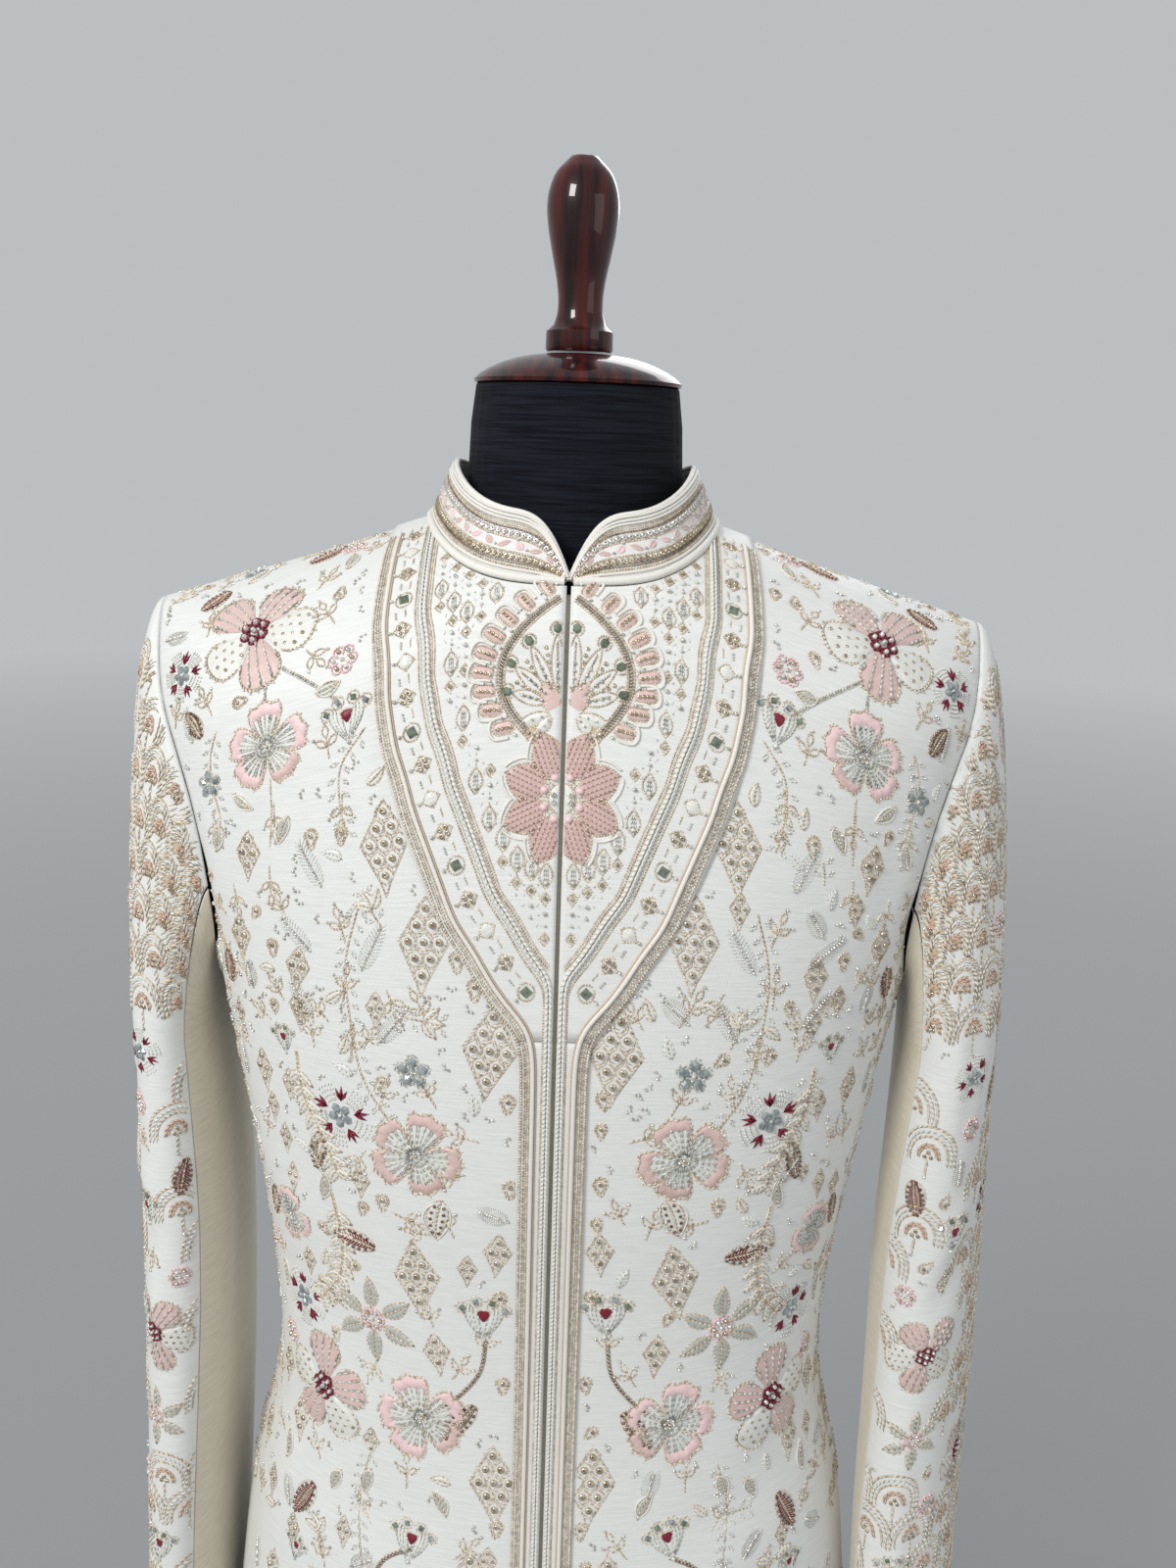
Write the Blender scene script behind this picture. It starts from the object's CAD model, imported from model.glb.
"""Looks of an embroidered sherwani coat that stands on a limbless dress form.

Metres, +Z up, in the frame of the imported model.  The coat front faces -Y and
+X is the wearer's left.  Cloth places are given on the flat cloth, in metres:
across is the way round from the centre line, and up is the way along the cloth.
"""
import math

import bpy
import numpy as np
from mathutils import Matrix, Vector


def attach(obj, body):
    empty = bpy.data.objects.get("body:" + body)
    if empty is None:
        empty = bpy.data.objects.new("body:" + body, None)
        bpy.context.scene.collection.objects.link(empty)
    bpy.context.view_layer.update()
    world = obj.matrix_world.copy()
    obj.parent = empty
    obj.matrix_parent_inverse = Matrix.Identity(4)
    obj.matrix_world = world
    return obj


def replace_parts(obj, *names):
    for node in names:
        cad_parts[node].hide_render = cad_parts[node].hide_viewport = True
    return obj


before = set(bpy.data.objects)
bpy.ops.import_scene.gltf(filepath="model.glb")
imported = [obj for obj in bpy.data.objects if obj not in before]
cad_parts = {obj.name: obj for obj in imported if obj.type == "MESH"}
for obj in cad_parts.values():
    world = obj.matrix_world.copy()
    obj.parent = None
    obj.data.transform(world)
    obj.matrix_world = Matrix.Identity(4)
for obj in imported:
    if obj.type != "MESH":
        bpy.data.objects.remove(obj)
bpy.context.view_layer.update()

bpy.ops.object.select_all(action="DESELECT")
LABEL = {1: "left", -1: "right"}

# ---------------------------------------------------------------- sizes of the coat
HEM_Z, ARMPIT_Z, SLIT_TOP_Z = 0.390, 1.215, 0.640
SQUARENESS = 2.35
SHOULDER_ROUNDING = 0.070
NECK_HALF_WIDTH, NECK_PIT_Z, NAPE_Z, NECKLINE_POWER = 0.0775, 1.4425, 1.4530, 3.4
SHOULDER_END = 0.226                    # where the shoulder seam ends, from the centre
FACE_GAP = 0.00015                      # the coat's bare face in front of the measured body
CLOTH, TRIM_WALL = 0.0020, 0.0012       # the walls of the coat's cloth and of the trim's
TRIM_LIFT = 0.0017                      # the trim's face above the coat's
ON_COAT, ON_TRIM = 0.00005, 0.00175     # where stitches start, above the coat's face
BODY_SECTIONS = (  # height, half width, front depth, back depth
    (0.390, 0.2420, 0.1720, 0.1700), (0.560, 0.2250, 0.1560, 0.1600),
    (0.700, 0.2070, 0.1430, 0.1480), (0.800, 0.1985, 0.1350, 0.1380),
    (0.880, 0.1880, 0.1290, 0.1250), (0.960, 0.1700, 0.1220, 0.1120),
    (1.050, 0.1730, 0.1230, 0.1110), (1.130, 0.1835, 0.1290, 0.1180),
    (1.215, 0.1975, 0.1320, 0.1240), (1.290, 0.2130, 0.1290, 0.1250),
    (1.360, 0.2290, 0.1190, 0.1180), (1.420, 0.2330, 0.1060, 0.1040),
    (1.480, 0.2340, 0.0940, 0.0920))
SHOULDER_LINE = (  # distance from the centre, height
    (0.000, 1.4840), (0.040, 1.4800), (0.078, 1.4680),
    (0.130, 1.4505), (0.175, 1.4365), (0.226, 1.4205))
ARMHOLE = (  # height, edge of the front, edge of the back
    (1.2150, 0.1975, 0.1975), (1.2400, 0.1900, 0.1915), (1.2760, 0.1905, 0.1915),
    (1.3100, 0.1960, 0.1970), (1.3400, 0.2050, 0.2050), (1.3730, 0.2165, 0.2155),
    (1.4205, 0.2260, 0.2260))
YOKE_EDGE = (  # height, half width
    (1.2200, 0.0170), (1.2400, 0.0320), (1.2600, 0.0465), (1.2800, 0.0585),
    (1.3000, 0.0675), (1.3400, 0.0825), (1.3800, 0.0915), (1.4200, 0.0955),
    (1.4610, 0.0960))
COLLAR_STAND = (  # turn, height, lean towards the neck
    (0, 0.0325, 0.44), (90, 0.0290, 0.44), (180, 0.0370, 0.24))
LEFT_SLEEVE = (  # height, across, forward, half length, half thickness, turn
    (0.742, 0.2340, 0.040, 0.0600, 0.0275, 27), (0.850, 0.2345, 0.022, 0.0650, 0.0290, 27),
    (0.960, 0.2365, 0.010, 0.0690, 0.0300, 24), (1.060, 0.2350, 0.003, 0.0720, 0.0310, 20),
    (1.180, 0.2330, 0.000, 0.0750, 0.0290, 12))
RIGHT_SLEEVE = (
    (0.742, 0.2290, 0.018, 0.0630, 0.0225, -4), (0.850, 0.2250, 0.012, 0.0660, 0.0245, -3),
    (0.960, 0.2220, 0.006, 0.0690, 0.0265, -1), (1.060, 0.2210, 0.002, 0.0710, 0.0270, 1),
    (1.180, 0.2240, 0.000, 0.0720, 0.0235, 2))
FRONT_SEAM, BACK_SEAM = 122.0, 248.0

# Creases: side, first turn and height, last turn and height, half breadth and rise in
# millimetres.  Turn is in degrees round the coat: 0 at the centre front, 180 behind.
BODY_CREASES = (
    (-1, 62, 1.245, 50, 1.345, 12, 2.2), (-1, 70, 1.225, 60, 1.30, 8, -2),
    (-1, 66, 1.13, 40, 1.075, 13, 1.6), (-1, 72, 1.06, 30, 1.01, 14, -1.6),
    (-1, 60, 0.985, 22, 0.96, 15, 1.8), (-1, 48, 0.925, 12, 0.90, 18, -1.6),
    (-1, 34, 0.88, 8, 0.835, 20, 1.8), (-1, 80, 1.15, 84, 0.96, 12, -1.6),
    (1, 60, 1.25, 52, 1.35, 12, 2), (1, 68, 1.23, 58, 1.29, 8, -2.2),
    (1, 70, 1.14, 46, 1.09, 14, 1.4), (1, 74, 1.05, 36, 1.02, 13, -1.8),
    (1, 62, 0.99, 28, 0.95, 16, 1.6), (1, 50, 0.94, 18, 0.89, 16, -1.4),
    (1, 40, 0.90, 10, 0.85, 20, 1.4), (1, 82, 1.14, 78, 0.97, 11, -1.8),
    (-1, 56, 0.82, 60, 0.47, 30, 4), (-1, 76, 0.76, 80, 0.43, 26, -3.6),
    (-1, 30, 0.70, 34, 0.42, 28, -3), (1, 52, 0.80, 54, 0.45, 30, 3.6),
    (1, 72, 0.78, 74, 0.42, 24, -3.4), (1, 26, 0.68, 28, 0.42, 26, -2.6),
    (-1, 120, 0.86, 128, 0.44, 30, 4.2), (-1, 145, 0.78, 150, 0.43, 28, -3.8),
    (1, 116, 0.84, 122, 0.46, 30, 4), (1, 150, 0.80, 152, 0.43, 27, -3.6),
    (-1, 150, 1.02, 112, 1.00, 16, 1.8), (-1, 142, 0.97, 108, 0.965, 14, -1.6),
    (1, 148, 1.04, 114, 1.01, 16, 1.6), (1, 140, 0.985, 106, 0.97, 14, -1.8),
    (-1, 118, 1.26, 136, 1.36, 14, 2), (1, 120, 1.25, 134, 1.35, 14, 1.8),
    (-1, 166, 1.40, 128, 1.41, 12, 1.2), (1, 168, 1.405, 130, 1.40, 12, 1))
# On a sleeve the turn is 0 on the outer side, 90 in front, 180 inside.
LEFT_CREASES = (
    (1, 40, 1.30, 44, 1.16, 10, 1.8), (1, 70, 1.24, 66, 1.13, 9, -1.6),
    (1, 30, 1.10, 85, 1.06, 10, 2), (1, 20, 1.065, 80, 1.03, 9, -2),
    (1, 30, 1.02, 84, 1.00, 10, 1.8), (1, 60, 0.96, 52, 0.80, 11, -1.6),
    (1, 10, 0.93, 16, 0.78, 12, 1.8), (1, 200, 1.10, 240, 1.04, 10, 2),
    (1, 280, 1.09, 320, 1.02, 11, -2), (1, 190, 0.98, 250, 0.94, 10, -1.6),
    (1, 150, 1.15, 146, 0.86, 11, 1.8))
RIGHT_CREASES = (
    (1, 60, 1.28, 62, 1.15, 9, 1.6), (1, 20, 1.11, 88, 1.085, 10, 1.8),
    (1, 30, 1.08, 86, 1.05, 9, -1.8), (1, 50, 1.03, 96, 0.985, 11, 1.8),
    (1, 140, 1.18, 150, 0.90, 12, 2), (1, 168, 1.14, 164, 0.80, 11, -2.2),
    (1, 120, 1.00, 128, 0.79, 10, -1.4), (1, 270, 1.09, 310, 1.03, 11, 2),
    (1, 250, 1.04, 300, 0.99, 10, -1.8), (1, 300, 0.95, 290, 0.80, 12, 1.8))


# ---------------------------------------------------------------- lines and curves
def xy(x, y):
    return np.stack([x, y], 1)


def lengths(path):
    """How far along a line each of its points is."""
    return np.concatenate([[0], np.cumsum(np.linalg.norm(np.diff(path, axis=0), axis=1))])


def row_lengths(points):
    """The same for each row of a grid of points."""
    steps = np.linalg.norm(np.diff(points, axis=1), axis=2)
    return np.concatenate([np.zeros((len(points), 1)), np.cumsum(steps, axis=1)], 1)


def unit(vectors):
    return vectors / np.maximum(np.linalg.norm(vectors, axis=-1, keepdims=True), 1e-12)


def rotated(line, degrees):
    c, s = math.cos(math.radians(degrees)), math.sin(math.radians(degrees))
    x, y = np.asarray(line, float).T
    return xy(x * c - y * s, x * s + y * c)


def mirrored(points, side):
    return points * np.array([side, 1.0, 1.0])


def curve_of(table, column):
    """A smooth curve through one column of a table, against its first column."""
    xs = np.array([row[0] for row in table], float)
    ys = np.array([row[column] for row in table], float)
    slopes = np.gradient(ys, xs)

    def at(where):
        where = np.clip(np.asarray(where, float), xs[0], xs[-1])
        i = np.clip(np.searchsorted(xs, where, side="right") - 1, 0, len(xs) - 2)
        span = xs[i + 1] - xs[i]
        t = (where - xs[i]) / span
        return ((1 + 2 * t) * (1 - t) ** 2 * ys[i] + t * (1 - t) ** 2 * span * slopes[i]
                + t * t * (3 - 2 * t) * ys[i + 1] + t * t * (t - 1) * span * slopes[i + 1])
    return at


half_width = curve_of(BODY_SECTIONS, 1)
body_depth = {"front": curve_of(BODY_SECTIONS, 2), "back": curve_of(BODY_SECTIONS, 3)}
shoulder_z = curve_of(SHOULDER_LINE, 1)
armhole_edge = {"front": curve_of(ARMHOLE, 1), "back": curve_of(ARMHOLE, 2)}
yoke_edge = curve_of(YOKE_EDGE, 1)


# ---------------------------------------------------------------- the cloth surfaces
def closure_gap(z):
    """Half the gap between the fronts; it opens out down the skirt."""
    return 0.0011 + 0.004 * np.clip((0.80 - z) / (0.80 - HEM_Z), 0, 1) ** 2


def soft_rise(creases, side, turn, height, radius):
    """The creases' rise at each place; radius turns degrees into metres round the cloth."""
    rise = np.zeros(np.broadcast(turn, height).shape)
    for which, first, az, last, bz, breadth, amount in creases:
        if which != side:
            continue
        breadth, amount = breadth / 1000, amount / 1000
        ax, bx = math.radians(first) * radius, math.radians(last) * radius
        px, pz = np.radians(turn) * radius, height
        length = (bx - ax) ** 2 + (bz - az) ** 2
        along = ((px - ax) * (bx - ax) + (pz - az) * (bz - az)) / length
        bend = 0.25 * breadth * np.sin(np.clip(along, 0, 1) * math.pi * 2)
        off = ((px - ax) * (bz - az) - (pz - az) * (bx - ax)) / math.sqrt(length) + bend
        fade = np.clip(1.15 - np.abs(along - 0.5) * 1.9, 0, 1)
        fade = fade * fade * (3 - 2 * fade)
        rise += amount * fade * np.exp(-(off / breadth) ** 2)
    return rise


def depth_at(face, x, z):
    share = np.minimum(np.abs(x) / half_width(z), 1.0)
    full = body_depth[face](z) * (1.0 - share ** SQUARENESS) ** (1.0 / SQUARENESS)
    drop = np.clip((shoulder_z(np.abs(x)) - z) / SHOULDER_ROUNDING, 0.0, 1.0)
    return full * np.sqrt(1.0 - (1.0 - drop) ** 2)


def row_z(face, x, row, neckline=True):
    """Rows 0 to 1 climb from hem to armpit, 1 to 1.6 up the chest, 1.6 to 2 over the shoulder."""
    start = shoulder_z(x) - SHOULDER_ROUNDING
    low = HEM_Z + (ARMPIT_Z - HEM_Z) * row
    middle = ARMPIT_Z + (start - ARMPIT_Z) * (row - 1.0) / 0.6
    end = np.zeros_like(x + row)
    if neckline:
        lowest = NECK_PIT_Z if face == "front" else NAPE_Z
        share = np.minimum(x / NECK_HALF_WIDTH, 1.0) ** NECKLINE_POWER
        line = lowest + (shoulder_z(NECK_HALF_WIDTH) - lowest) * share
        drop = np.where(x < NECK_HALF_WIDTH, shoulder_z(x) - line, 0.0)
        end = np.arccos(np.clip(1.0 - drop / SHOULDER_ROUNDING, -1.0, 1.0))
    angle = end + (math.pi / 2 - end) * (2.0 - row) / 0.4
    high = shoulder_z(x) - SHOULDER_ROUNDING * (1.0 - np.cos(angle))
    return np.where(row <= 1.0, low, np.where(row <= 1.6, middle, high))


def body_place(face, side, x, row, neckline=True):
    """Points of the creased outer face and its normals; x is measured on the +X half."""
    def bare(x, row):
        z = row_z(face, x, row, neckline)
        slit = 0.003 * np.clip((SLIT_TOP_Z - z) / 0.12, 0, 1)
        away = FACE_GAP + slit + depth_at(face, x, z)
        return np.stack([x, -away if face == "front" else away, z], -1)
    x, row = np.broadcast_arrays(np.asarray(x, float), np.asarray(row, float))
    step = 0.0015       # to the neighbours that give the normal
    point = bare(x, row)
    over = bare(x + step, row) - bare(np.maximum(x - step, 0), row)
    up = bare(x, np.minimum(row + step, 2.0)) - bare(x, row - step)
    normal = unit(np.cross(over, up))
    if face == "back":
        normal = -normal
    z = point[..., 2]
    share = np.clip(x / half_width(z), 0, 1)
    turn = np.degrees(np.arcsin(np.clip(share ** (SQUARENESS / 2), 0, 1)))
    if face == "back":
        turn = 180 - turn
    point = point + normal * soft_rise(BODY_CREASES, side, turn, z, 0.17)[..., None]
    return mirrored(point, side), mirrored(normal, side)


def sleeve_place(side, angle, along):
    """Points and normals of a sleeve; along is 0 to 1 over its head, and 1 to 2 to the cuff."""
    table = LEFT_SLEEVE if side > 0 else RIGHT_SLEEVE
    columns = [curve_of(table, i) for i in range(1, 6)]
    top_z, cuff_z = table[-1][0], table[0][0]

    def ring(z, angle):
        across, forward, long, short, turn = [c(z) for c in columns]
        turn, a = np.radians(turn), np.radians(angle)
        outer = short * np.sign(np.cos(a)) * np.abs(np.cos(a)) ** 0.9
        front = long * np.sign(np.sin(a)) * np.abs(np.sin(a)) ** 0.9
        return np.stack([across + outer * np.cos(turn) - front * np.sin(turn),
                         -forward - outer * np.sin(turn) - front * np.cos(turn),
                         z + 0 * angle], -1)

    def hole(angle):
        row = 1.0 + (1.0 + np.cos(np.radians(angle))) / 2
        ahead = (angle % 360) <= 180
        points = []
        for face in ("front", "back"):
            z = row_z(face, np.full_like(row, SHOULDER_END), row)
            edge = armhole_edge[face](z)
            zz = row_z(face, edge, row)
            away = FACE_GAP + depth_at(face, edge, zz)
            points.append(np.stack([edge, -away if face == "front" else away, zz], -1))
        return np.where(ahead[..., None], points[0], points[1])

    def bare(angle, along):
        a = np.radians(angle)
        top = (1.0 + np.cos(a)) / 2
        leave = unit(np.stack([0.50 + 0.50 * top ** 0.8, -0.30 * np.sin(a),
                               -0.80 * (1.0 - top) - 0.06 * top], -1))
        start = hole(angle) + leave * (0.0002 + 0.0006 * (1.0 - top))[..., None]
        end = ring(np.full_like(angle, top_z), angle)
        first = leave * (0.020 + 0.044 * top)[..., None]
        last = (0.030 + 0.150 * top)[..., None] * np.array([0, 0, -1.0])
        t = np.clip(along, 0, 1)[..., None]
        head = (start * ((1 + 2 * t) * (1 - t) ** 2) + first * (t * (1 - t) ** 2)
                + end * (t * t * (3 - 2 * t)) - last * (t * t * (1 - t)))
        z = top_z + (cuff_z - top_z) * np.clip(along - 1.0, 0, 1)
        return np.where((along < 1.0)[..., None], head, ring(z, angle))

    angle, along = np.broadcast_arrays(np.asarray(angle, float), np.asarray(along, float))
    point = bare(angle, along)
    over = bare(angle + 0.5, along) - bare(angle - 0.5, along)
    down = bare(angle, along + 0.004) - bare(angle, np.maximum(along - 0.004, 0))
    normal = unit(np.cross(over, down))
    creases = LEFT_CREASES if side > 0 else RIGHT_CREASES
    rise = soft_rise(creases, 1, angle % 360, point[..., 2], 0.055)
    point = point + normal * rise[..., None]
    return mirrored(point, side), mirrored(normal, side)


def neckline_point(turn):
    x = NECK_HALF_WIDTH * np.sin(np.radians(turn))
    lines = []
    for face, lowest in (("front", NECK_PIT_Z), ("back", NAPE_Z)):
        share = (x / NECK_HALF_WIDTH) ** NECKLINE_POWER
        z = lowest + (shoulder_z(NECK_HALF_WIDTH) - lowest) * share
        away = depth_at(face, x, z)
        lines.append(np.stack([x, -away if face == "front" else away, z], -1))
    return np.where((turn <= 90)[..., None], lines[0], lines[1])


FOOT_TURNS = np.linspace(0.0, 180.0, 721)
FOOT = neckline_point(FOOT_TURNS)
FOOT_RUN = lengths(FOOT)
COLLAR_HALF = float(FOOT_RUN[-1])
collar_height, collar_lean = curve_of(COLLAR_STAND, 1), curve_of(COLLAR_STAND, 2)


def collar_place(side, length, share):
    """Points and normals of the collar; length runs from the front edge to the centre back."""
    def stand(point, length):
        """The way the collar stands: up, and leaning in towards the neck."""
        inward = unit(np.stack([-point[..., 0], -point[..., 1], 0 * length], -1))
        lean = collar_lean(np.interp(length, FOOT_RUN, FOOT_TURNS))[..., None]
        return np.array([0, 0, 1.0]) + inward * lean

    def bare(length, share):
        foot = np.stack([np.interp(length, FOOT_RUN, FOOT[:, i]) for i in range(3)], -1)
        rounding = np.maximum(0.0, 1.0 - length / 0.037) ** 3.0
        height = collar_height(np.interp(length, FOOT_RUN, FOOT_TURNS)) * (1.0 - rounding) * share
        return foot + stand(foot, length) * height[..., None] + np.array([0, 0, 0.0022])

    length, share = np.broadcast_arrays(np.asarray(length, float), np.asarray(share, float))
    point = bare(length, share)
    over = bare(length + 0.002, share) - bare(np.maximum(length - 0.002, 0.0), share)
    normal = unit(np.cross(over, stand(point, length)))
    return mirrored(point, side), mirrored(normal, side)


class Cloth:
    """A piece of cloth laid out flat: points of the surface by metres across and up."""

    def __init__(self, across, up, points, normals):
        self.across, self.up, self.points, self.normals = across, up, points, normals

    def at(self, across, up, lift=0.0):
        i = np.interp(up, self.up, np.arange(len(self.up)))
        j = np.interp(across, self.across, np.arange(len(self.across)))
        i0 = np.minimum(i.astype(int), len(self.up) - 2)
        j0 = np.minimum(j.astype(int), len(self.across) - 2)
        fi, fj = (i - i0)[..., None], (j - j0)[..., None]
        found = []
        for grid in (self.points, self.normals):
            low = grid[i0, j0] * (1 - fj) + grid[i0, j0 + 1] * fj
            high = grid[i0 + 1, j0] * (1 - fj) + grid[i0 + 1, j0 + 1] * fj
            found.append(low * (1 - fi) + high * fi)
        return found[0] + found[1] * np.asarray(lift)[..., None], found[1]


GRID = 0.003        # between the columns of a cloth that is laid out flat


def lay_flat(place, last_across, rows, reach, middle):
    """Work out a Cloth from place(p, row): p runs to last_across(row) on each row."""
    share = np.linspace(0.0, 1.0, 240)
    edge = last_across(rows)
    p = edge[:, None] * share[None, :] if np.ndim(edge) else share
    points, normals = place(p, rows[:, None])
    run = row_lengths(points)
    across = np.arange(0.0, reach, GRID)
    grid = np.empty((len(rows), len(across), 3))
    tilt = np.empty_like(grid)
    for i in range(len(rows)):
        for k in range(3):
            grid[i, :, k] = np.interp(across, run[i], points[i, :, k])
            tilt[i, :, k] = np.interp(across, run[i], normals[i, :, k])
    column = int(middle / GRID)
    cloth = Cloth(across, lengths(grid[:, column]), grid, tilt)
    cloth.ends = run[:, -1]
    return cloth


def body_cloth(face, side):
    """Up starts at the hem; across at the centre line."""
    rows = np.concatenate([np.linspace(0, 1, 276), np.linspace(1, 1.6, 61)[1:],
                           np.linspace(1.6, 1.999, 50)[1:]])

    def edge(rows):
        reach = half_width(HEM_Z + (ARMPIT_Z - HEM_Z) * rows)
        hole = armhole_edge[face](row_z(face, np.full_like(rows, SHOULDER_END), rows))
        return np.where(rows <= 1.0, reach, hole)
    return lay_flat(lambda x, row: body_place(face, side, x, row, False), edge, rows, 0.36, 0.110)


def sleeve_cloth(side, turn):
    """Across is the way round from the outer line towards the front; up is the way down."""
    rows = np.concatenate([np.linspace(0, 1, 81), np.linspace(1, 2, 151)[1:]])
    cloth = lay_flat(lambda a, along: sleeve_place(side, turn * a, along),
                     lambda rows: np.full(len(rows), 179.0), rows, 0.20, 0.03)
    seam = FRONT_SEAM if turn > 0 else 360 - BACK_SEAM
    rings, _ = sleeve_place(side, turn * np.linspace(0, seam, 60)[None], rows[:, None])
    cloth.seam = np.linalg.norm(np.diff(rings, axis=1), axis=2).sum(1)
    # in the sleeve head every column is measured up from the ring where the head ends
    ring = 80
    even, even_normals, levels = np.empty_like(cloth.points), np.empty_like(cloth.normals), []
    for j in range(len(cloth.across)):
        column = cloth.points[:, j]
        down = lengths(column)
        down += cloth.up[ring] - down[ring]
        levels.append(down)
        for k in range(3):
            even[:, j, k] = np.interp(cloth.up, down, column[:, k])
            even_normals[:, j, k] = np.interp(cloth.up, down, cloth.normals[:, j, k])
    levels = np.array(levels)
    cloth.points, cloth.normals, cloth.top = even, even_normals, levels[:, 0]
    columns = np.clip((cloth.seam / GRID).astype(int), 0, len(levels) - 1)
    cloth.seam_up = np.maximum.accumulate(levels[columns, np.arange(len(rows))])
    return cloth


def collar_cloth(side):
    rows = np.linspace(0.0, 1.0, 14)
    return lay_flat(lambda s, share: collar_place(side, s, share),
                    lambda rows: np.full(len(rows), COLLAR_HALF), rows, 0.275, 0.09)


# ---------------------------------------------------------------- needlework tools
def tube_faces(rings, sides):
    """Triangles that join rings of points into a tube."""
    faces = []
    for k in range(rings - 1):
        for i in range(sides):
            a, b = k * sides + i, k * sides + (i + 1) % sides
            faces += [(a, b, b + sides), (a, b + sides, a + sides)]
    return faces


def ring_shape(rings, sides, cap):
    """A small turned shape: rings are (radius, height), from its foot to its top."""
    turn = np.arange(sides) * 2 * math.pi / sides
    points = np.concatenate([np.stack([r * np.cos(turn), r * np.sin(turn), np.full(sides, z)], 1)
                             for r, z in rings])
    faces = tube_faces(len(rings), sides)
    if cap is not None:
        top, last = len(points), len(points) - sides
        points = np.concatenate([points, [[0, 0, cap]]])
        faces += [(last + i, last + (i + 1) % sides, top) for i in range(sides)]
    return points, np.array(faces)


STITCH = (np.array([(-.5, 0, -.1), (0, -.5, -.1), (.5, 0, -.1), (0, .5, -.1), (0, 0, 1.0)]),
          np.array([(0, 1, 4), (1, 2, 4), (2, 3, 4), (3, 0, 4), (0, 2, 1), (0, 3, 2)]))
BEAD = ring_shape(((.5, .1), (.36, .8)), 6, .98)
SEQUIN = ring_shape(((.5, 0), (.44, .75), (.14, .5)), 7, None)
STONE = ring_shape(((.5, 0), (.5, .25), (.27, .9)), 6, .9)
KITE = ring_shape(((.5, 0), (.5, .3), (.24, 1.0)), 4, 1.0)
FACETED = (id(STONE), id(KITE))


def smooth_line(points, count=24):
    """A smooth line through a few points."""
    points = np.asarray(points, float)
    step = lengths(points)
    slopes = np.gradient(points, step, axis=0) if len(points) > 2 else \
        np.repeat((points[1:] - points[:1]) / step[-1], 2, 0)
    where = np.linspace(0, step[-1], count)
    i = np.clip(np.searchsorted(step, where, side="right") - 1, 0, len(points) - 2)
    span = (step[i + 1] - step[i])[:, None]
    t = (where - step[i])[:, None] / span
    return ((1 + 2 * t) * (1 - t) ** 2 * points[i] + t * (1 - t) ** 2 * span * slopes[i]
            + t * t * (3 - 2 * t) * points[i + 1] + t * t * (t - 1) * span * slopes[i + 1])


def evenly(path, pitch):
    """Points at an even pitch along a line, and the line's direction at each."""
    path = np.asarray(path, float)
    step = lengths(path)
    count = max(int(round(step[-1] / pitch)), 1)
    where = (np.arange(count) + 0.5) * step[-1] / count
    spots = np.stack([np.interp(where, step, path[:, k]) for k in range(2)], 1)
    ahead = np.stack([np.interp(where + pitch * .5, step, path[:, k])
                      - np.interp(where - pitch * .5, step, path[:, k]) for k in range(2)], 1)
    return spots, np.arctan2(ahead[:, 1], ahead[:, 0])


def inside(outline, spots):
    """Which spots are inside a closed outline."""
    found = np.zeros(len(spots), bool)
    for (ax, ay), (bx, by) in zip(outline, np.roll(outline, -1, axis=0)):
        crosses = (ay > spots[:, 1]) != (by > spots[:, 1])
        at = ax + (spots[:, 1] - ay) * (bx - ax) / (by - ay if by != ay else 1e-12)
        found ^= crosses & (spots[:, 0] < at)
    return found


THREAD = 1.35       # a laid rope is this much thicker than its width says


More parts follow.
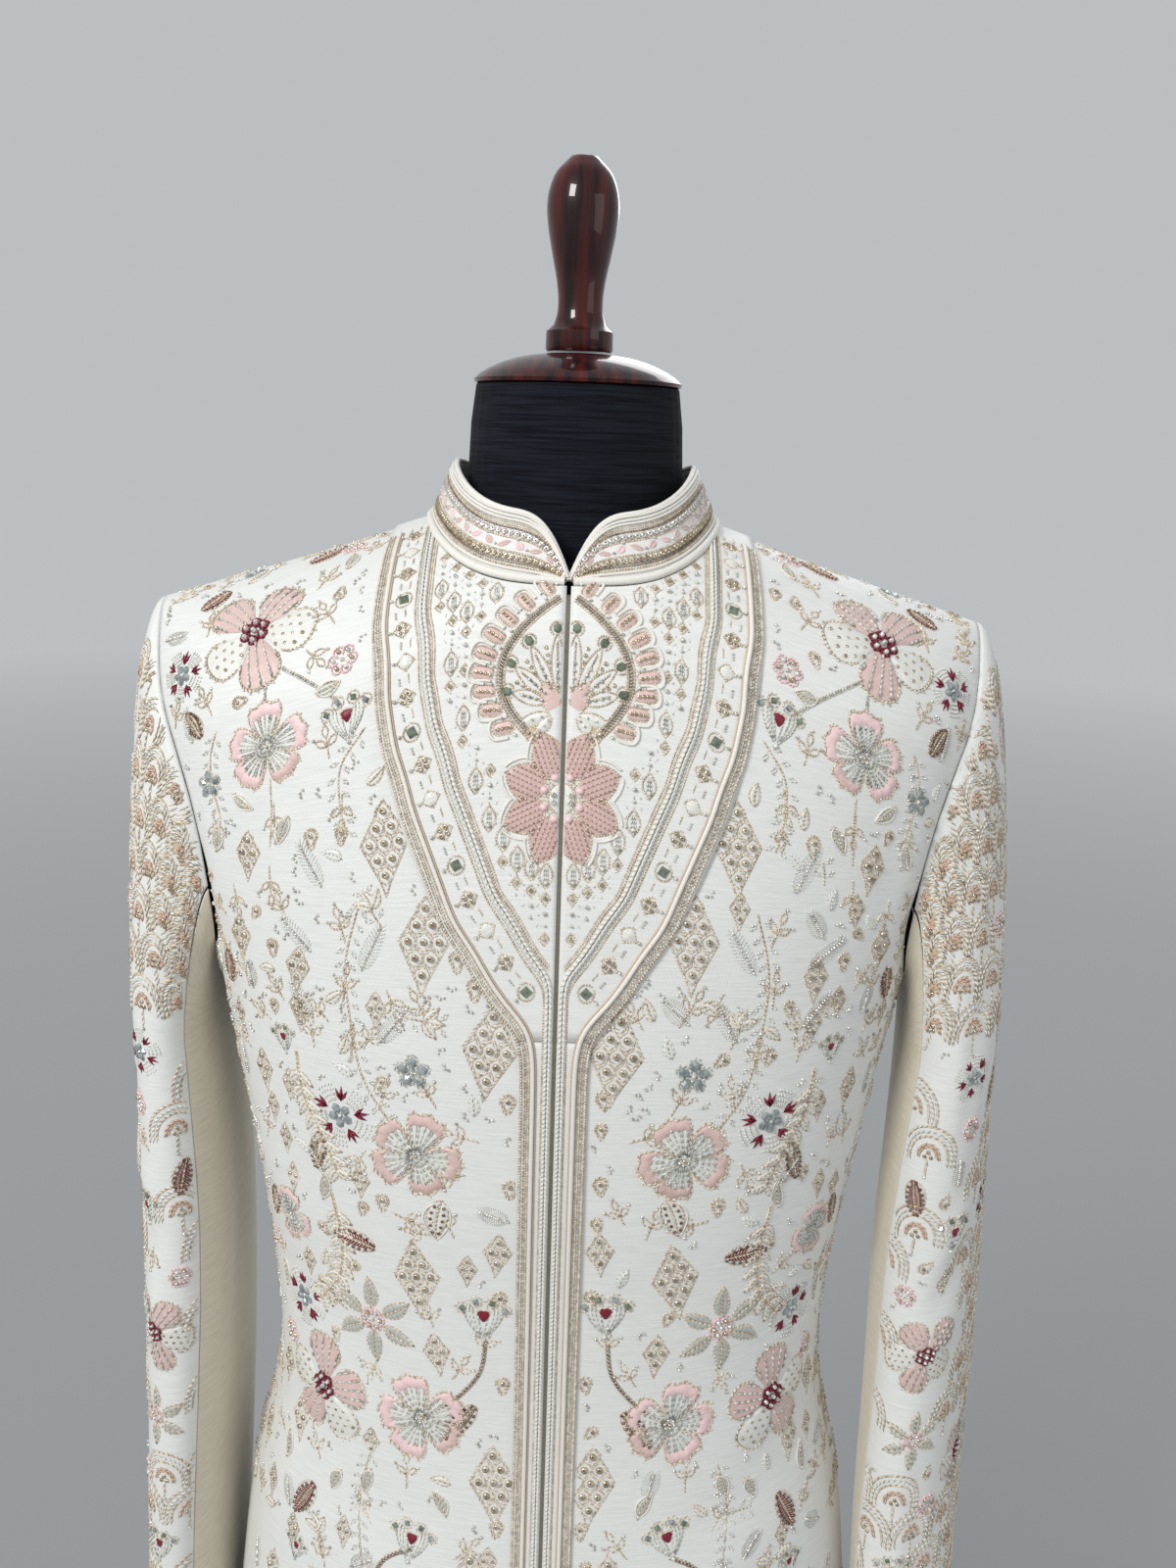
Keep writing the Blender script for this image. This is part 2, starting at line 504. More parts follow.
class Work:
    """The needlework on one piece of cloth.  Patterns are drawn in millimetres.

    lift is the height that it starts from, in metres, and keep says which places may be
    stitched.  coarse makes stitches longer and fewer; satin is cut off short of least.
    taken holds the places of the motifs that are drawn, and lines the stems.
    """

    def __init__(self, name, cloth, lift, keep=None):
        self.name, self.cloth, self.lift, self.keep = name, cloth, lift, keep
        self.coarse, self.least = 1.0, None
        self.taken, self.lines = [], []
        self.points, self.faces, self.finish, self.uvs, self.smooth = [], [], [], [], []
        self.count, self.finishes = 0, []
        self.pen(0, 0)
        i, j = len(cloth.up) // 2, 5
        over = cloth.points[i, j + 1] - cloth.points[i, j]
        up = cloth.points[i + 1, j] - cloth.points[i, j]
        self.flip = float(np.dot(np.cross(over, up), cloth.normals[i, j])) < 0

    # the pen: where a pattern's own millimetres start, how it is turned, and its size
    def pen(self, across, up, turn=0.0, size=1.0):
        self.start = np.array([across, up])
        self.turn = math.radians(turn)
        self.size = size

    def flat(self, path):
        path = np.asarray(path, float) * (self.size / 1000)
        c, s = math.cos(self.turn), math.sin(self.turn)
        return np.stack([path[..., 0] * c - path[..., 1] * s,
                         path[..., 0] * s + path[..., 1] * c], -1) + self.start

    def add(self, points, faces, finish, uv, smooth):
        if finish not in self.finishes:
            self.finishes.append(finish)
        faces = faces[:, ::-1] if self.flip else faces
        self.points.append(points)
        self.faces.append(faces + self.count)
        self.finish.append(np.full(len(faces), self.finishes.index(finish)))
        self.uvs.append(uv)
        self.smooth.append(np.full(len(faces), smooth))
        self.count += len(points)

    def stamp(self, shape, spots, turns, length, breadth, height, finish, lift=0.0):
        """Copies of a small shape, sizes in millimetres."""
        spots = self.flat(np.asarray(spots, float).reshape(-1, 2))
        turns = np.broadcast_to(np.asarray(turns, float), len(spots)) + self.turn
        length, breadth, height = (np.broadcast_to(np.asarray(v, float), len(spots)) for v in
                                   (length, breadth, height))
        if self.keep is not None:
            good = self.keep(spots[:, 0], spots[:, 1])
            spots, turns, length, breadth, height = (
                v[good] for v in (spots, turns, length, breadth, height))
        if not len(spots):
            return
        across, up = spots[:, 0], spots[:, 1]
        base, normal = self.cloth.at(across, up, np.full(len(spots), self.lift + lift / 1000))
        over = self.cloth.at(across + 0.0015, up)[0] - self.cloth.at(across - 0.0015, up)[0]
        over = unit(over - normal * (over * normal).sum(1, keepdims=True))
        upward = np.cross(normal, over) * (-1 if self.flip else 1)
        local, faces = shape
        c, s = np.cos(turns)[:, None], np.sin(turns)[:, None]
        scale = self.size / 1000
        x = local[None, :, 0] * length[:, None] * scale
        y = local[None, :, 1] * breadth[:, None] * scale
        z = local[None, :, 2] * height[:, None] * scale
        p = (base[:, None] + over[:, None] * (x * c - y * s)[..., None]
             + upward[:, None] * (x * s + y * c)[..., None] + normal[:, None] * z[..., None])
        n = len(local)
        all_faces = (faces[None] + (np.arange(len(spots)) * n)[:, None, None]).reshape(-1, 3)
        uv = np.tile(local[:, :2], (len(spots), 1))
        # each copy takes another part of the pattern
        uv = uv + np.repeat(np.arange(len(spots)) % 97, n)[:, None] * 1.37
        self.add(p.reshape(-1, 3), all_faces, finish, uv, id(shape) not in FACETED)

    def rope(self, path, width=1.0, finish="zari", pitch=None, lean=32, rise=0.55, lift=0.0):
        """A twisted cord: a row of slanting stitches."""
        width *= THREAD
        pitch = (pitch * THREAD if pitch else width * 0.85) * self.coarse
        spots, turns = evenly(path, pitch)
        self.stamp(STITCH, spots, turns + math.radians(lean) / self.coarse, pitch * 1.9,
                   width * .95, width * rise, finish, lift)

    def braid(self, path, width=2.0, finish="zari", pitch=None, rise=0.5, lift=0.0):
        """Chain stitch: two rows of stitches that meet in a row of V shapes."""
        path = np.asarray(path, float)
        pitch = (pitch or width * 0.6) * self.coarse
        spots, turns = evenly(path, pitch)
        off = xy(-np.sin(turns), np.cos(turns)) * width * .24
        for side in (1, -1):
            self.stamp(STITCH, spots + off * side, turns - side * math.radians(24), pitch * 1.7,
                       width * .48, width * rise * .7, finish, lift)

    def dots(self, spots, size=1.8, finish="crystal", shape=BEAD, height=.6, lift=0.0, turn=0.0):
        spots = np.asarray(spots, float).reshape(-1, 2)
        self.stamp(shape, spots, turn, size, size, np.asarray(size) * height, finish, lift)

    def cord(self, path, radius=0.6, finish="cord", sink=0.2, sides=6):
        """A laid cord, as a round tube along a line."""
        path = self.flat(path)
        r = radius * self.size / 1000
        if self.keep is not None and not self.keep(path[:, 0], path[:, 1]).all():
            return
        base, normal = self.cloth.at(path[:, 0], path[:, 1],
                                     np.full(len(path), self.lift + r * (1 - 2 * sink)))
        over = unit(np.cross(normal, unit(np.gradient(base, axis=0))))
        turn = np.arange(sides) * 2 * math.pi / sides
        p = (base[:, None] + over[:, None] * (np.cos(turn) * r)[None, :, None]
             + normal[:, None] * (np.sin(turn) * r)[None, :, None])
        uv = np.stack(np.broadcast_arrays(lengths(base)[:, None] * 100, turn[None] / 6.2832), -1)
        faces = np.array(tube_faces(len(path), sides))[:, ::1 if self.flip else -1]
        self.add(p.reshape(-1, 3), faces, finish, uv.reshape(-1, 2), True)

    def satin(self, inner, outer, finish, rise=0.7, rows=(0.0, 0.3, 0.7, 1.0)):
        """Satin stitch between two lines; the threads run from one line to the other."""
        inner, outer = np.asarray(inner, float), np.asarray(outer, float)
        share = np.array(rows)[:, None, None]
        flat = self.flat(inner[None] * (1 - share) + outer[None] * share)
        clipped = np.zeros(flat.shape[:2], bool)
        if self.least is not None:
            clipped = flat[..., 0] < self.least
            flat[..., 0] = np.maximum(flat[..., 0], self.least)
        elif self.keep is not None and not self.keep(flat[..., 0], flat[..., 1]).all():
            return
        height = np.sqrt(np.clip(1 - (2 * share[..., 0] - 1) ** 2, 0, 1)) * rise + 0.06
        ends = np.clip(np.minimum(np.arange(len(inner)), np.arange(len(inner))[::-1]) / 1.5, .15, 1)
        lift = self.lift + height * ends[None] * self.size / 1000
        p, _ = self.cloth.at(flat[..., 0], flat[..., 1], lift)
        depth = np.linalg.norm(outer - inner, axis=1).mean()
        uv = np.stack(np.broadcast_arrays(lengths(outer)[None], share[..., 0] * depth), -1)
        k = len(inner)
        faces = []
        for i in range(len(rows) - 1):
            for j in range(k - 1):
                a = i * k + j
                faces += [(a, a + 1, a + k + 1), (a, a + k + 1, a + k)]
        faces = np.array(faces)
        faces = faces[~clipped.ravel()[faces].all(1)]
        if not len(faces):
            return
        # the faces turn over where the second line is on the other side of the first
        ahead = flat[0, k // 2] - flat[0, k // 2 - 1] if k % 2 else np.zeros(2)
        if np.linalg.norm(ahead) < 1e-9:
            ahead = flat[-1, -1] - flat[-1, 0]
        outward = flat[-1, k // 2] - flat[0, k // 2]
        if ahead[0] * outward[1] - ahead[1] * outward[0] < 0:
            faces = faces[:, ::-1]
        self.add(p.reshape(-1, 3), faces, finish, uv.reshape(-1, 2), True)

    def build(self, slot="coat_silk"):
        """Make the piece of all that is drawn."""
        mesh = bpy.data.meshes.new(self.name)
        points = np.concatenate(self.points)
        faces = np.concatenate(self.faces).astype(np.int32)
        mesh.vertices.add(len(points))
        mesh.vertices.foreach_set("co", points.astype(np.float32).ravel())
        mesh.loops.add(len(faces) * 3)
        mesh.loops.foreach_set("vertex_index", faces.ravel())
        mesh.polygons.add(len(faces))
        mesh.polygons.foreach_set("loop_start", np.arange(len(faces), dtype=np.int32) * 3)
        mesh.update(calc_edges=True)
        mesh.polygons.foreach_set("material_index", np.concatenate(self.finish).astype(np.int32))
        mesh.polygons.foreach_set("use_smooth", np.concatenate(self.smooth))
        layer = mesh.uv_layers.new(name="thread")
        uv = np.concatenate(self.uvs).astype(np.float32)
        layer.data.foreach_set("uv", uv[faces.ravel()].ravel())
        obj = bpy.data.objects.new(self.name, mesh)
        bpy.context.scene.collection.objects.link(obj)
        for name in self.finishes:
            mesh.materials.append(finishes[name])
        mesh.validate()
        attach(obj, "root")
        return obj


# ---------------------------------------------------------------- patterns
def arc(radius, first, last, count=16, centre=(0, 0)):
    a = np.radians(np.linspace(first, last, count))
    return xy(centre[0] + radius * np.cos(a), centre[1] + radius * np.sin(a))


def polar(radius, degrees, centre=(0, 0)):
    a = np.radians(degrees)
    return np.stack([centre[0] + radius * np.cos(a), centre[1] + radius * np.sin(a)], -1)


def petal_edge(middle, spread, radius, scallops, count=15):
    """The outer edge of one petal, seen from the flower's centre."""
    t = np.linspace(-1, 1, count)
    notch = 1 - np.abs(np.cos(scallops * t * math.pi / 2))
    r = radius * (1 - 0.42 * np.abs(t) ** 5) * (1 - 0.085 * notch)
    return polar(r, middle + t * spread)


def rayed_flower(w, across, up, turn=0, size=1.0, rim="pink", dark="rose", petals=5):
    """Petals with a satin rim and silver rays that run in to the middle."""
    w.pen(across, up, turn, size)
    step = 360 / petals
    for k in range(petals):
        middle = 90 + k * step + (4 if k % 2 else -3)
        radius = 21 - (k % 3) * 1.0
        edge = petal_edge(middle, step * .475, radius, 3)
        w.satin(edge * .74, edge, dark if k % 3 == 2 else rim, .8)
        w.satin(edge * .14, edge * .74, "white_satin", .35)
        for i, share in enumerate(np.linspace(.06, .94, 9)):
            direction = edge[int(round(share * 14))]
            reach = .90 if i % 2 else .74
            w.rope(np.array([direction * .18, direction * reach]), .62, "silver", 1.15, 0, .9, .35)
        w.rope(np.concatenate([edge[:1] * .45, edge, edge[-1:] * .45]) * 1.03, .9, "zari", 1.1)
        w.dots(edge[1:-1:2] * 1.07, .9, "zari", BEAD, .7)
    w.dots(arc(2.3, 0, 300, 6), 1.5, "crystal")
    w.dots([(0, 0)], 2.0, "gold_bead")


def staggered(xs, ys, shift):
    """A grid of spots; every other row is moved along."""
    grid = np.stack(np.meshgrid(xs, ys), -1).reshape(-1, 2)
    grid[:, 0] += (np.round(grid[:, 1] / (ys[1] - ys[0])) % 2) * shift
    return grid


def striped_flower(w, across, up, turn=0, size=1.0):
    """Five petals: three of satin crossed by silver rows, two white ones with sequins."""
    w.pen(across, up, turn, size)
    for middle, radius, spread, white in ((28, 27, 33, False), (104, 25, 33, False),
                                          (172, 27, 32, True), (238, 27, 29, False),
                                          (304, 25, 33, True)):
        t = np.linspace(-1, 1, 17)
        edge = polar(radius * (1 - .34 * np.abs(t) ** 3.2), middle + t * spread)
        outline = np.concatenate([polar(np.array([4.0]), np.array([middle])), edge])
        w.satin(edge * .14, edge, "white_satin" if white else "rose_pink", .9)
        if white:
            dots = rotated(staggered(np.arange(8, 30, 4.4), np.arange(-14, 15, 4.2), 2.2), middle)
            w.dots(dots[inside(outline * .93, dots)], 1.7, "gold_sequin", SEQUIN, .35, .7)
        else:
            for off in np.arange(-12, 13, 4.0):
                line = xy(np.linspace(6, 30, 49), np.full(49, off))
                line[:, 1] += .03 * (line[:, 0] - 15) * off
                line = rotated(line, middle)
                line = line[inside(outline * .97, line)]
                if len(line) > 6:
                    w.rope(line, 1.1, "silver", 1.5, 12, .8, .8)
        w.rope(edge * 1.03, 1.0, "zari", 1.1)
        w.dots(edge[1:-1:2] * 1.075, 1.0, "silver", BEAD, .7)
    for a in range(0, 360, 60):
        centre = polar(4.6, a + 12)
        w.rope(arc(2.0, 0, 340, 14, centre), 1.1, "crimson", 1.0, 10, .8, .6)
        w.dots([centre], 2.4, "crystal", BEAD, .8, .6)
    w.dots([(0, 0)], 2.6, "crystal", BEAD, .9, .6)


def small_flower(w, across, up, turn=0, size=1.0):
    """Six pink loops round sequin-like beads."""
    w.pen(across, up, turn, size)
    for a in range(0, 360, 60):
        centre = polar(4.6, a)
        w.rope(arc(2.5, a - 150, a + 150, 14, centre), 1.2, "pink", 1.0, 10, .7)
        w.dots([centre], 2.6, "gold_bead" if a % 120 else "crystal", BEAD, .7)
    w.dots([(0, 0)], 2.4, "crystal")


def stone_flower(w, across, up, turn=0, size=1.0):
    """Five grey stones, each in a ring of silver thread."""
    w.pen(across, up, turn, size)
    for a in range(90, 450, 72):
        centre = polar(5.3, a)
        w.stamp(STONE, [centre], math.radians(a), 6.2, 4.6, 1.5, "grey_stone")
        w.rope(rotated(arc(1.0, 0, 360, 17) * [[3.9, 3.0]], a) + centre, .9, "silver", 1.0)
    w.dots([(0, 0)], 2.4, "silver", BEAD)


def crimson_star(w, across, up, turn=0, size=1.0):
    """Grey stones with tufts of crimson stitches and rows of white knots between them."""
    w.pen(across, up, turn, size)
    for k in range(5):
        a = 90 + k * 72
        w.stamp(STONE, [polar(3.7, a + 36)], math.radians(a + 36), 5.0, 4.2, 1.6, "grey_stone")
        for off in (-13, 0, 13):
            line = np.array([polar(7.0, a), polar(14.5 - abs(off) * .12, a + off)])
            w.stamp(STITCH, [line.mean(0)], math.atan2(*(line[1] - line[0])[::-1]),
                    np.linalg.norm(line[1] - line[0]) * 1.15, 1.9, 1.2, "crimson")
        for off in (22, 30, 38, 46, 52):
            w.stamp(STITCH, polar(np.array([8.0, 10.4, 12.8, 15.0]), np.full(4, a + off)),
                    math.radians(a + off), 2.0, 1.5, 1.0, "white_satin")
    w.dots([(0, 0)], 2.2, "crystal")


def leaf(w, across, up, turn, length, breadth, finish="white_satin", edge="zari", beads=None,
         halo=False):
    """A leaf that points along turn, with satin halves, a cord edge and a rib."""
    w.pen(across, up, turn)
    t = np.linspace(0, 1, 13)
    rib_line = xy(t * length, .05 * length * np.sin(t * math.pi))
    half = breadth / 2 * np.sin(t ** .8 * math.pi) ** .8
    for side in (1, -1):
        border = rib_line + xy(0 * t, side * half)
        w.satin(rib_line, border, finish, .7)
        w.rope(border, .9, edge, 1.15, side * 25)
        if beads:
            w.dots((rib_line + (border - rib_line) * .62)[2:-1:2], 1.9, beads, SEQUIN, .5, .6)
        if halo:
            w.cord(rib_line + (border - rib_line) * 1.35 + [[1.0, 0]], .45, "cord")
    w.rope(rib_line, .9, edge, 1.2, 15, .9, .4)


def edged_leaf(w, across, up, turn, length=24, breadth=10, colour="crimson"):
    """A leaf of slanting coloured stitches with sequins round its edge."""
    w.pen(across, up, turn)
    t = np.linspace(.04, .96, 15)
    half = breadth / 2 * np.sin(t ** .85 * math.pi) ** .75
    for side in (1, -1):
        spots = xy(t * length + half * .25, side * half * .5)
        w.stamp(STITCH, spots, side * math.radians(48), half * 1.15 + .6, 1.35, 1.0, colour)
        w.stamp(STITCH, spots + [[.8, 0]], side * math.radians(48), half * 1.1 + .4, .7, 1.0,
                "zari")
        w.dots(xy(t * length + half * .45, side * half)[::2], 1.9, "brown_sequin",
               SEQUIN, .5, .2)
    w.rope(xy(t * length, 0 * t), .9, "zari", 1.1, 15, .9, .3)
    edge = xy(t * length, half * 1.25)
    w.rope(edge, .7, "zari", 1.1)
    w.rope(edge * [[1, -1]], .7, "zari", 1.1)


def feather(w, across, up, turn, length=24, breadth=9):
    """A leaf of loose pale stitches on each side of a string of beads."""
    w.pen(across, up, turn)
    t = np.linspace(.1, .95, 13)
    half = breadth / 2 * np.sin(np.clip(t, 0, 1) ** .8 * math.pi) ** .5
    for side in (1, -1):
        for share in (.45, .75, 1.0):
            spots = xy(t * length + share * 2.4, side * half * share)
            w.stamp(STITCH, spots, side * math.radians(35), 1.9, .9, .6, "white_satin")
    w.dots(xy(t * length, 0 * t), 1.75, "crystal", BEAD, .75)


def sprig(w, across, up, turn, length=12, tip="crystal"):
    """A short stem with three small leaves of zari and a bead at each tip."""
    w.pen(across, up, turn)
    w.rope([(0, 0), (length, 0)], 1.0, "zari", 1.1)
    t = np.linspace(0, 1, 9)
    for at, turns in ((length, (0,)), (length * .58, (48, -48))):
        for a in turns:
            for side in (1, -1):
                line = xy(t * 7 - 3.5, side * 1.6 * np.sin(t * math.pi))
                w.rope(rotated(line, a) + polar(4.4, a, (at, 0)), .9, "zari", 1.0)
            w.dots([polar(9.2, a, (at, 0))], 1.9, tip)


def drop(w, across, up, turn=-90, size=1.0):
    """One sequin in a tear-shaped cord."""
    w.pen(across, up, turn, size)
    a = np.radians(np.linspace(0, 360, 27))
    r = 3.7 + 3.6 * np.exp(-(np.minimum(a, 2 * math.pi - a) / .42) ** 2)
    line = xy(r * np.cos(a), r * np.sin(a))
    w.rope(line, 1.0, "zari", 1.05)
    w.rope(line * .72, .7, "zari", 1.05)
    w.dots([(-.2, 0)], 2.9, "gold_sequin", SEQUIN, .55)


def lattice(w, across, up, turn=0, size=1.0, rows=(1, 2, 3, 2, 1)):
    """A diamond of sequins, each in its own cell of fine cord."""
    w.pen(across, up, turn, size)
    pitch = 8.0
    cell = np.array([(0, 4.6), (3.9, 1.2), (3.4, -2.2), (0, -4.9), (-3.4, -2.2), (-3.9, 1.2),
                     (0, 4.6)])
    for k, count in enumerate(rows):
        for i in range(count):
            centre = np.array([(i - (count - 1) / 2) * pitch, ((len(rows) - 1) / 2 - k) * pitch])
            w.dots([centre], 3.7, "gold_sequin", SEQUIN, .5, .2)
            w.rope(cell + centre, .8, "zari", 1.25)
    wide, tall = max(rows) / 2 * pitch + .8, len(rows) / 2 * pitch
    w.rope([(0, tall + 2), (wide, 0), (2.5, -tall), (0, -tall - 7), (-2.5, -tall), (-wide, 0),
            (0, tall + 2)], .8, "zari", 1.1)


def tulip(w, across, up, turn=0, size=1.0):
    """A bud: silver petals round a crimson heart, with sage stones along its crown."""
    w.pen(across, up, turn, size)
    for side in (1, -1):
        t = np.linspace(0, 1, 11)
        outer = xy(side * (1.2 + 7.4 * np.sin(t * math.pi * .62)), t * 17 - 8)
        inner = xy(side * (.6 + 2.6 * t), t * 13 - 7)
        w.satin(inner, outer, "white_satin", .6)
        w.rope(outer, 1.0, "silver", 1.1)
        w.rope(inner, .9, "silver", 1.1)
        for share in (.35, .65):
            w.rope((inner * (1 - share) + outer * share)[1:], .7, "silver", 1.2, 0, .9, .5)
    inner, outer, edge = (arc(radius, 58, 122, 9, (0, -1)) for radius in (1.0, 7.0, 7.3))
    w.satin(inner, outer, "crimson", .9)
    w.rope(edge, .8, "zari", 1.1)
    for a, stone in ((42, "sage"), (73, "grey_stone"), (107, "sage"), (138, "grey_stone")):
        place = polar(13.2, a, (0, -2))
        w.stamp(KITE, [place], math.radians(a + 45), 3.9, 3.9, 1.5, stone)
        w.rope(arc(2.9, 0, 350, 14, place), .8, "zari", 1.1)
    w.dots([(0, -9.6)], 2.6, "silver")


def star_flower(w, across, up, turn=0, size=1.0):
    """Six narrow silver leaves round a small pink flower."""
    for k in range(6):
        a = turn + 90 + k * 60
        centre = polar(6.0 * size, a)
        leaf(w, across + centre[0] / 1000, up + centre[1] / 1000, a, 15 * size, 7 * size,
             "silver_satin")
    small_flower(w, across, up, turn, .8 * size)


def stem(w, points, width=1.9, finish="brown"):
    """A curved stem through points in metres across and up."""
    w.pen(0, 0)
    line = smooth_line(np.array(points) * 1000, 40)
    w.lines.append(line / 1000)
    w.braid(line, width, finish, 1.5, .6)
    w.rope(line + [[0, width * .55]], .7, "zari", 1.2)


def bead_twig(w, points, leaves=True):
    """A thin stem through points in metres, with beaded leaves in pairs along it."""
    w.pen(0, 0)
    line = smooth_line(np.array(points) * 1000, 40)
    w.lines.append(line / 1000)
    w.rope(line, 1.0, "zari", 1.1)
    for (x, y), t in zip(*evenly(line, 7.5)) if leaves else ():
        for side in (1, -1):
            w.pen(x / 1000, y / 1000, math.degrees(t) + side * 52)
            w.stamp(STITCH, [(3.2, 0), (4.6, .9), (4.6, -.9)], 0, (3.6, 3.0, 3.0), 1.2, .8,
                    "white_satin")
            w.dots([(6.6, 0)], 1.4, "crystal")


# ---------------------------------------------------------------- finishes
class Look:
    """A material; more are constants set on its shader's own sockets."""

    def __init__(self, name, colour, roughness=0.6, metallic=0.0, **more):
        self.material = bpy.data.materials.new(name)
        self.material.use_nodes = True
        self.nodes, self.links = self.material.node_tree.nodes, self.material.node_tree.links
        self.shader = self.nodes["Principled BSDF"]
        for socket, value in {"Base Color": (*colour, 1), "Roughness": roughness,
                              "Metallic": metallic, **more}.items():
            self.shader.inputs[socket.replace("_", " ")].default_value = value

    def node(self, kind, vector=None, output=0, **inputs):
        """A texture node and its output; inputs are the constants that it is given."""
        node = self.nodes.new("ShaderNode" + kind)
        for socket, value in inputs.items():
            node.inputs[socket].default_value = value
        if vector is not None:
            self.links.new(vector, node.inputs["Vector"])
        return node.outputs[output]

    def thread(self):
        """The piece's own coordinates, along and across its threads."""
        place = self.nodes.new("ShaderNodeUVMap")
        place.uv_map = "thread"
        return place.outputs[0]

    def place(self):
        return self.node("TexCoord", output="Object")

    def noise(self, vector, scale=1.0, detail=2.0, stretch=None):
        if stretch:
            vector = self.node("Mapping", vector, Scale=stretch)
        return self.node("TexNoise", vector, "Fac", Scale=scale, Detail=detail)

    def shade(self, pattern, low, high, first, last, socket="Base Color"):
        """Colours a socket by a pattern, from one colour to another."""
        ramp = self.nodes.new("ShaderNodeValToRGB")
        for stop, place, colour in zip(ramp.color_ramp.elements, (first, last), (low, high)):
            stop.position, stop.color = place, (*colour, 1)
        self.links.new(pattern, ramp.inputs[0])
        self.links.new(ramp.outputs[0], self.shader.inputs[socket])

    def bump(self, height, strength, distance):
        node = self.nodes.new("ShaderNodeBump")
        node.inputs["Strength"].default_value = strength
        node.inputs["Distance"].default_value = distance
        self.links.new(height, node.inputs["Height"])
        self.links.new(node.outputs[0], self.shader.inputs["Normal"])

    def sum_of(self, operation, first, second):
        """The result of a sum; second is another output or a number."""
        node = self.nodes.new("ShaderNodeMath")
        node.operation = operation
        self.links.new(first, node.inputs[0])
        if isinstance(second, float):
            node.inputs[1].default_value = second
        else:
            self.links.new(second, node.inputs[1])
        return node.outputs[0]


def cloth_finish(name, light, dark, roughness, sheen):
    """Plain-woven silk: fine ribs across, uneven yarns and a soft sheen."""
    look = Look(name, light, roughness, Sheen_Weight=sheen, Sheen_Roughness=0.45,
                Specular_IOR_Level=0.35)
    yarn = look.noise(look.thread(), detail=3, stretch=(60, 900, 1))
    weft = look.noise(look.thread(), detail=1, stretch=(1500, 1500, 1))
    look.shade(yarn, dark, light, 0.30, 0.62)
    look.bump(look.sum_of("ADD", yarn, weft), 0.35, 0.0004)
    return look.material


def thread_finish(name, light, dark, roughness=0.5, metallic=0.0, rows=1.9, **more):
    """Stitched thread: fine strands along the stitch, lighter and darker."""
    look = Look(name, light, roughness, metallic, **more)
    strand = look.noise(look.thread(), stretch=(rows, 0.25, 1))
    look.shade(strand, dark, light, 0.32, 0.62)
    look.bump(strand, 0.6, 0.0004)
    return look.material


def speckled_finish(name, light, dark, roughness, metallic, scale=420, **more):
    """Metal thread or cut beads, each stitch or bead a little lighter or darker."""
    look = Look(name, light, roughness, metallic, **more)
    look.shade(look.noise(look.place(), scale, 1), dark, light, 0.36, 0.64)
    return look.material


finishes = {
    "zari": speckled_finish("zari_thread", (0.88, 0.79, 0.64), (0.58, 0.47, 0.34), 0.42, 0.10),
    "cord": thread_finish("ivory_cord", (0.88, 0.86, 0.81), (0.74, 0.71, 0.65), 0.55, rows=30),
    "silver": speckled_finish("silver_thread", (0.78, 0.78, 0.73), (0.46, 0.46, 0.42), 0.36, 0.15),
    "white_satin": thread_finish("white_satin", (0.83, 0.83, 0.79), (0.68, 0.68, 0.63), 0.38),
    "silver_satin": thread_finish("silver_satin", (0.64, 0.65, 0.60), (0.44, 0.45, 0.41), 0.4, 0.2),
    "pink": thread_finish("pink_satin", (0.88, 0.66, 0.66), (0.80, 0.55, 0.56), 0.36),
    "rose_pink": thread_finish("rose_pink_satin", (0.76, 0.57, 0.53), (0.64, 0.45, 0.42), 0.38),
    "rose": thread_finish("dusty_rose_satin", (0.68, 0.50, 0.46), (0.56, 0.39, 0.35), 0.38),
    "dark_rose": thread_finish("dark_rose_thread", (0.50, 0.32, 0.28), (0.38, 0.22, 0.19), 0.5),
    "crimson": thread_finish("crimson_thread", (0.25, 0.010, 0.035), (0.14, 0.004, 0.018), 0.4),
    "brown": speckled_finish("antique_thread", (0.44, 0.33, 0.23), (0.20, 0.14, 0.085), 0.45, 0.3),
    "tan": thread_finish("tan_cord", (0.70, 0.56, 0.42), (0.50, 0.38, 0.26), 0.5, rows=30),
    "peach": thread_finish("peach_cord", (0.74, 0.55, 0.42), (0.60, 0.42, 0.30), 0.45, rows=30),
    "sage": speckled_finish("sage_stone", (0.20, 0.25, 0.18), (0.09, 0.12, 0.08), 0.12, 0.0, 300,
                            Coat_Weight=0.8),
    "grey_stone": speckled_finish("grey_stone", (0.42, 0.47, 0.47), (0.22, 0.25, 0.25), 0.1, 0.3,
                                  300, Coat_Weight=0.8),
    "crystal": speckled_finish("crystal_bead", (0.88, 0.86, 0.80), (0.42, 0.40, 0.37), 0.08, 0.35,
                               500),
    "gold_bead": speckled_finish("gold_bead", (0.72, 0.62, 0.46), (0.36, 0.28, 0.18), 0.15, 0.6,
                                 500),
    "gold_sequin": speckled_finish("gold_sequin", (0.74, 0.64, 0.48), (0.38, 0.30, 0.20), 0.2, 0.55,
                                   350),
    "pearl_sequin": speckled_finish("pearl_sequin", (0.85, 0.82, 0.78), (0.62, 0.55, 0.50), 0.15,
                                    0.5, 350),
    "brown_sequin": speckled_finish("brown_sequin", (0.38, 0.24, 0.17), (0.16, 0.08, 0.06), 0.2,
                                    0.6, 350),
}
ivory_silk = cloth_finish("ivory_silk", (0.80, 0.805, 0.785), (0.725, 0.73, 0.71), 0.55, 0.25)
cream_silk = cloth_finish("cream_silk", (0.74, 0.68, 0.55), (0.64, 0.57, 0.45), 0.5, 0.3)


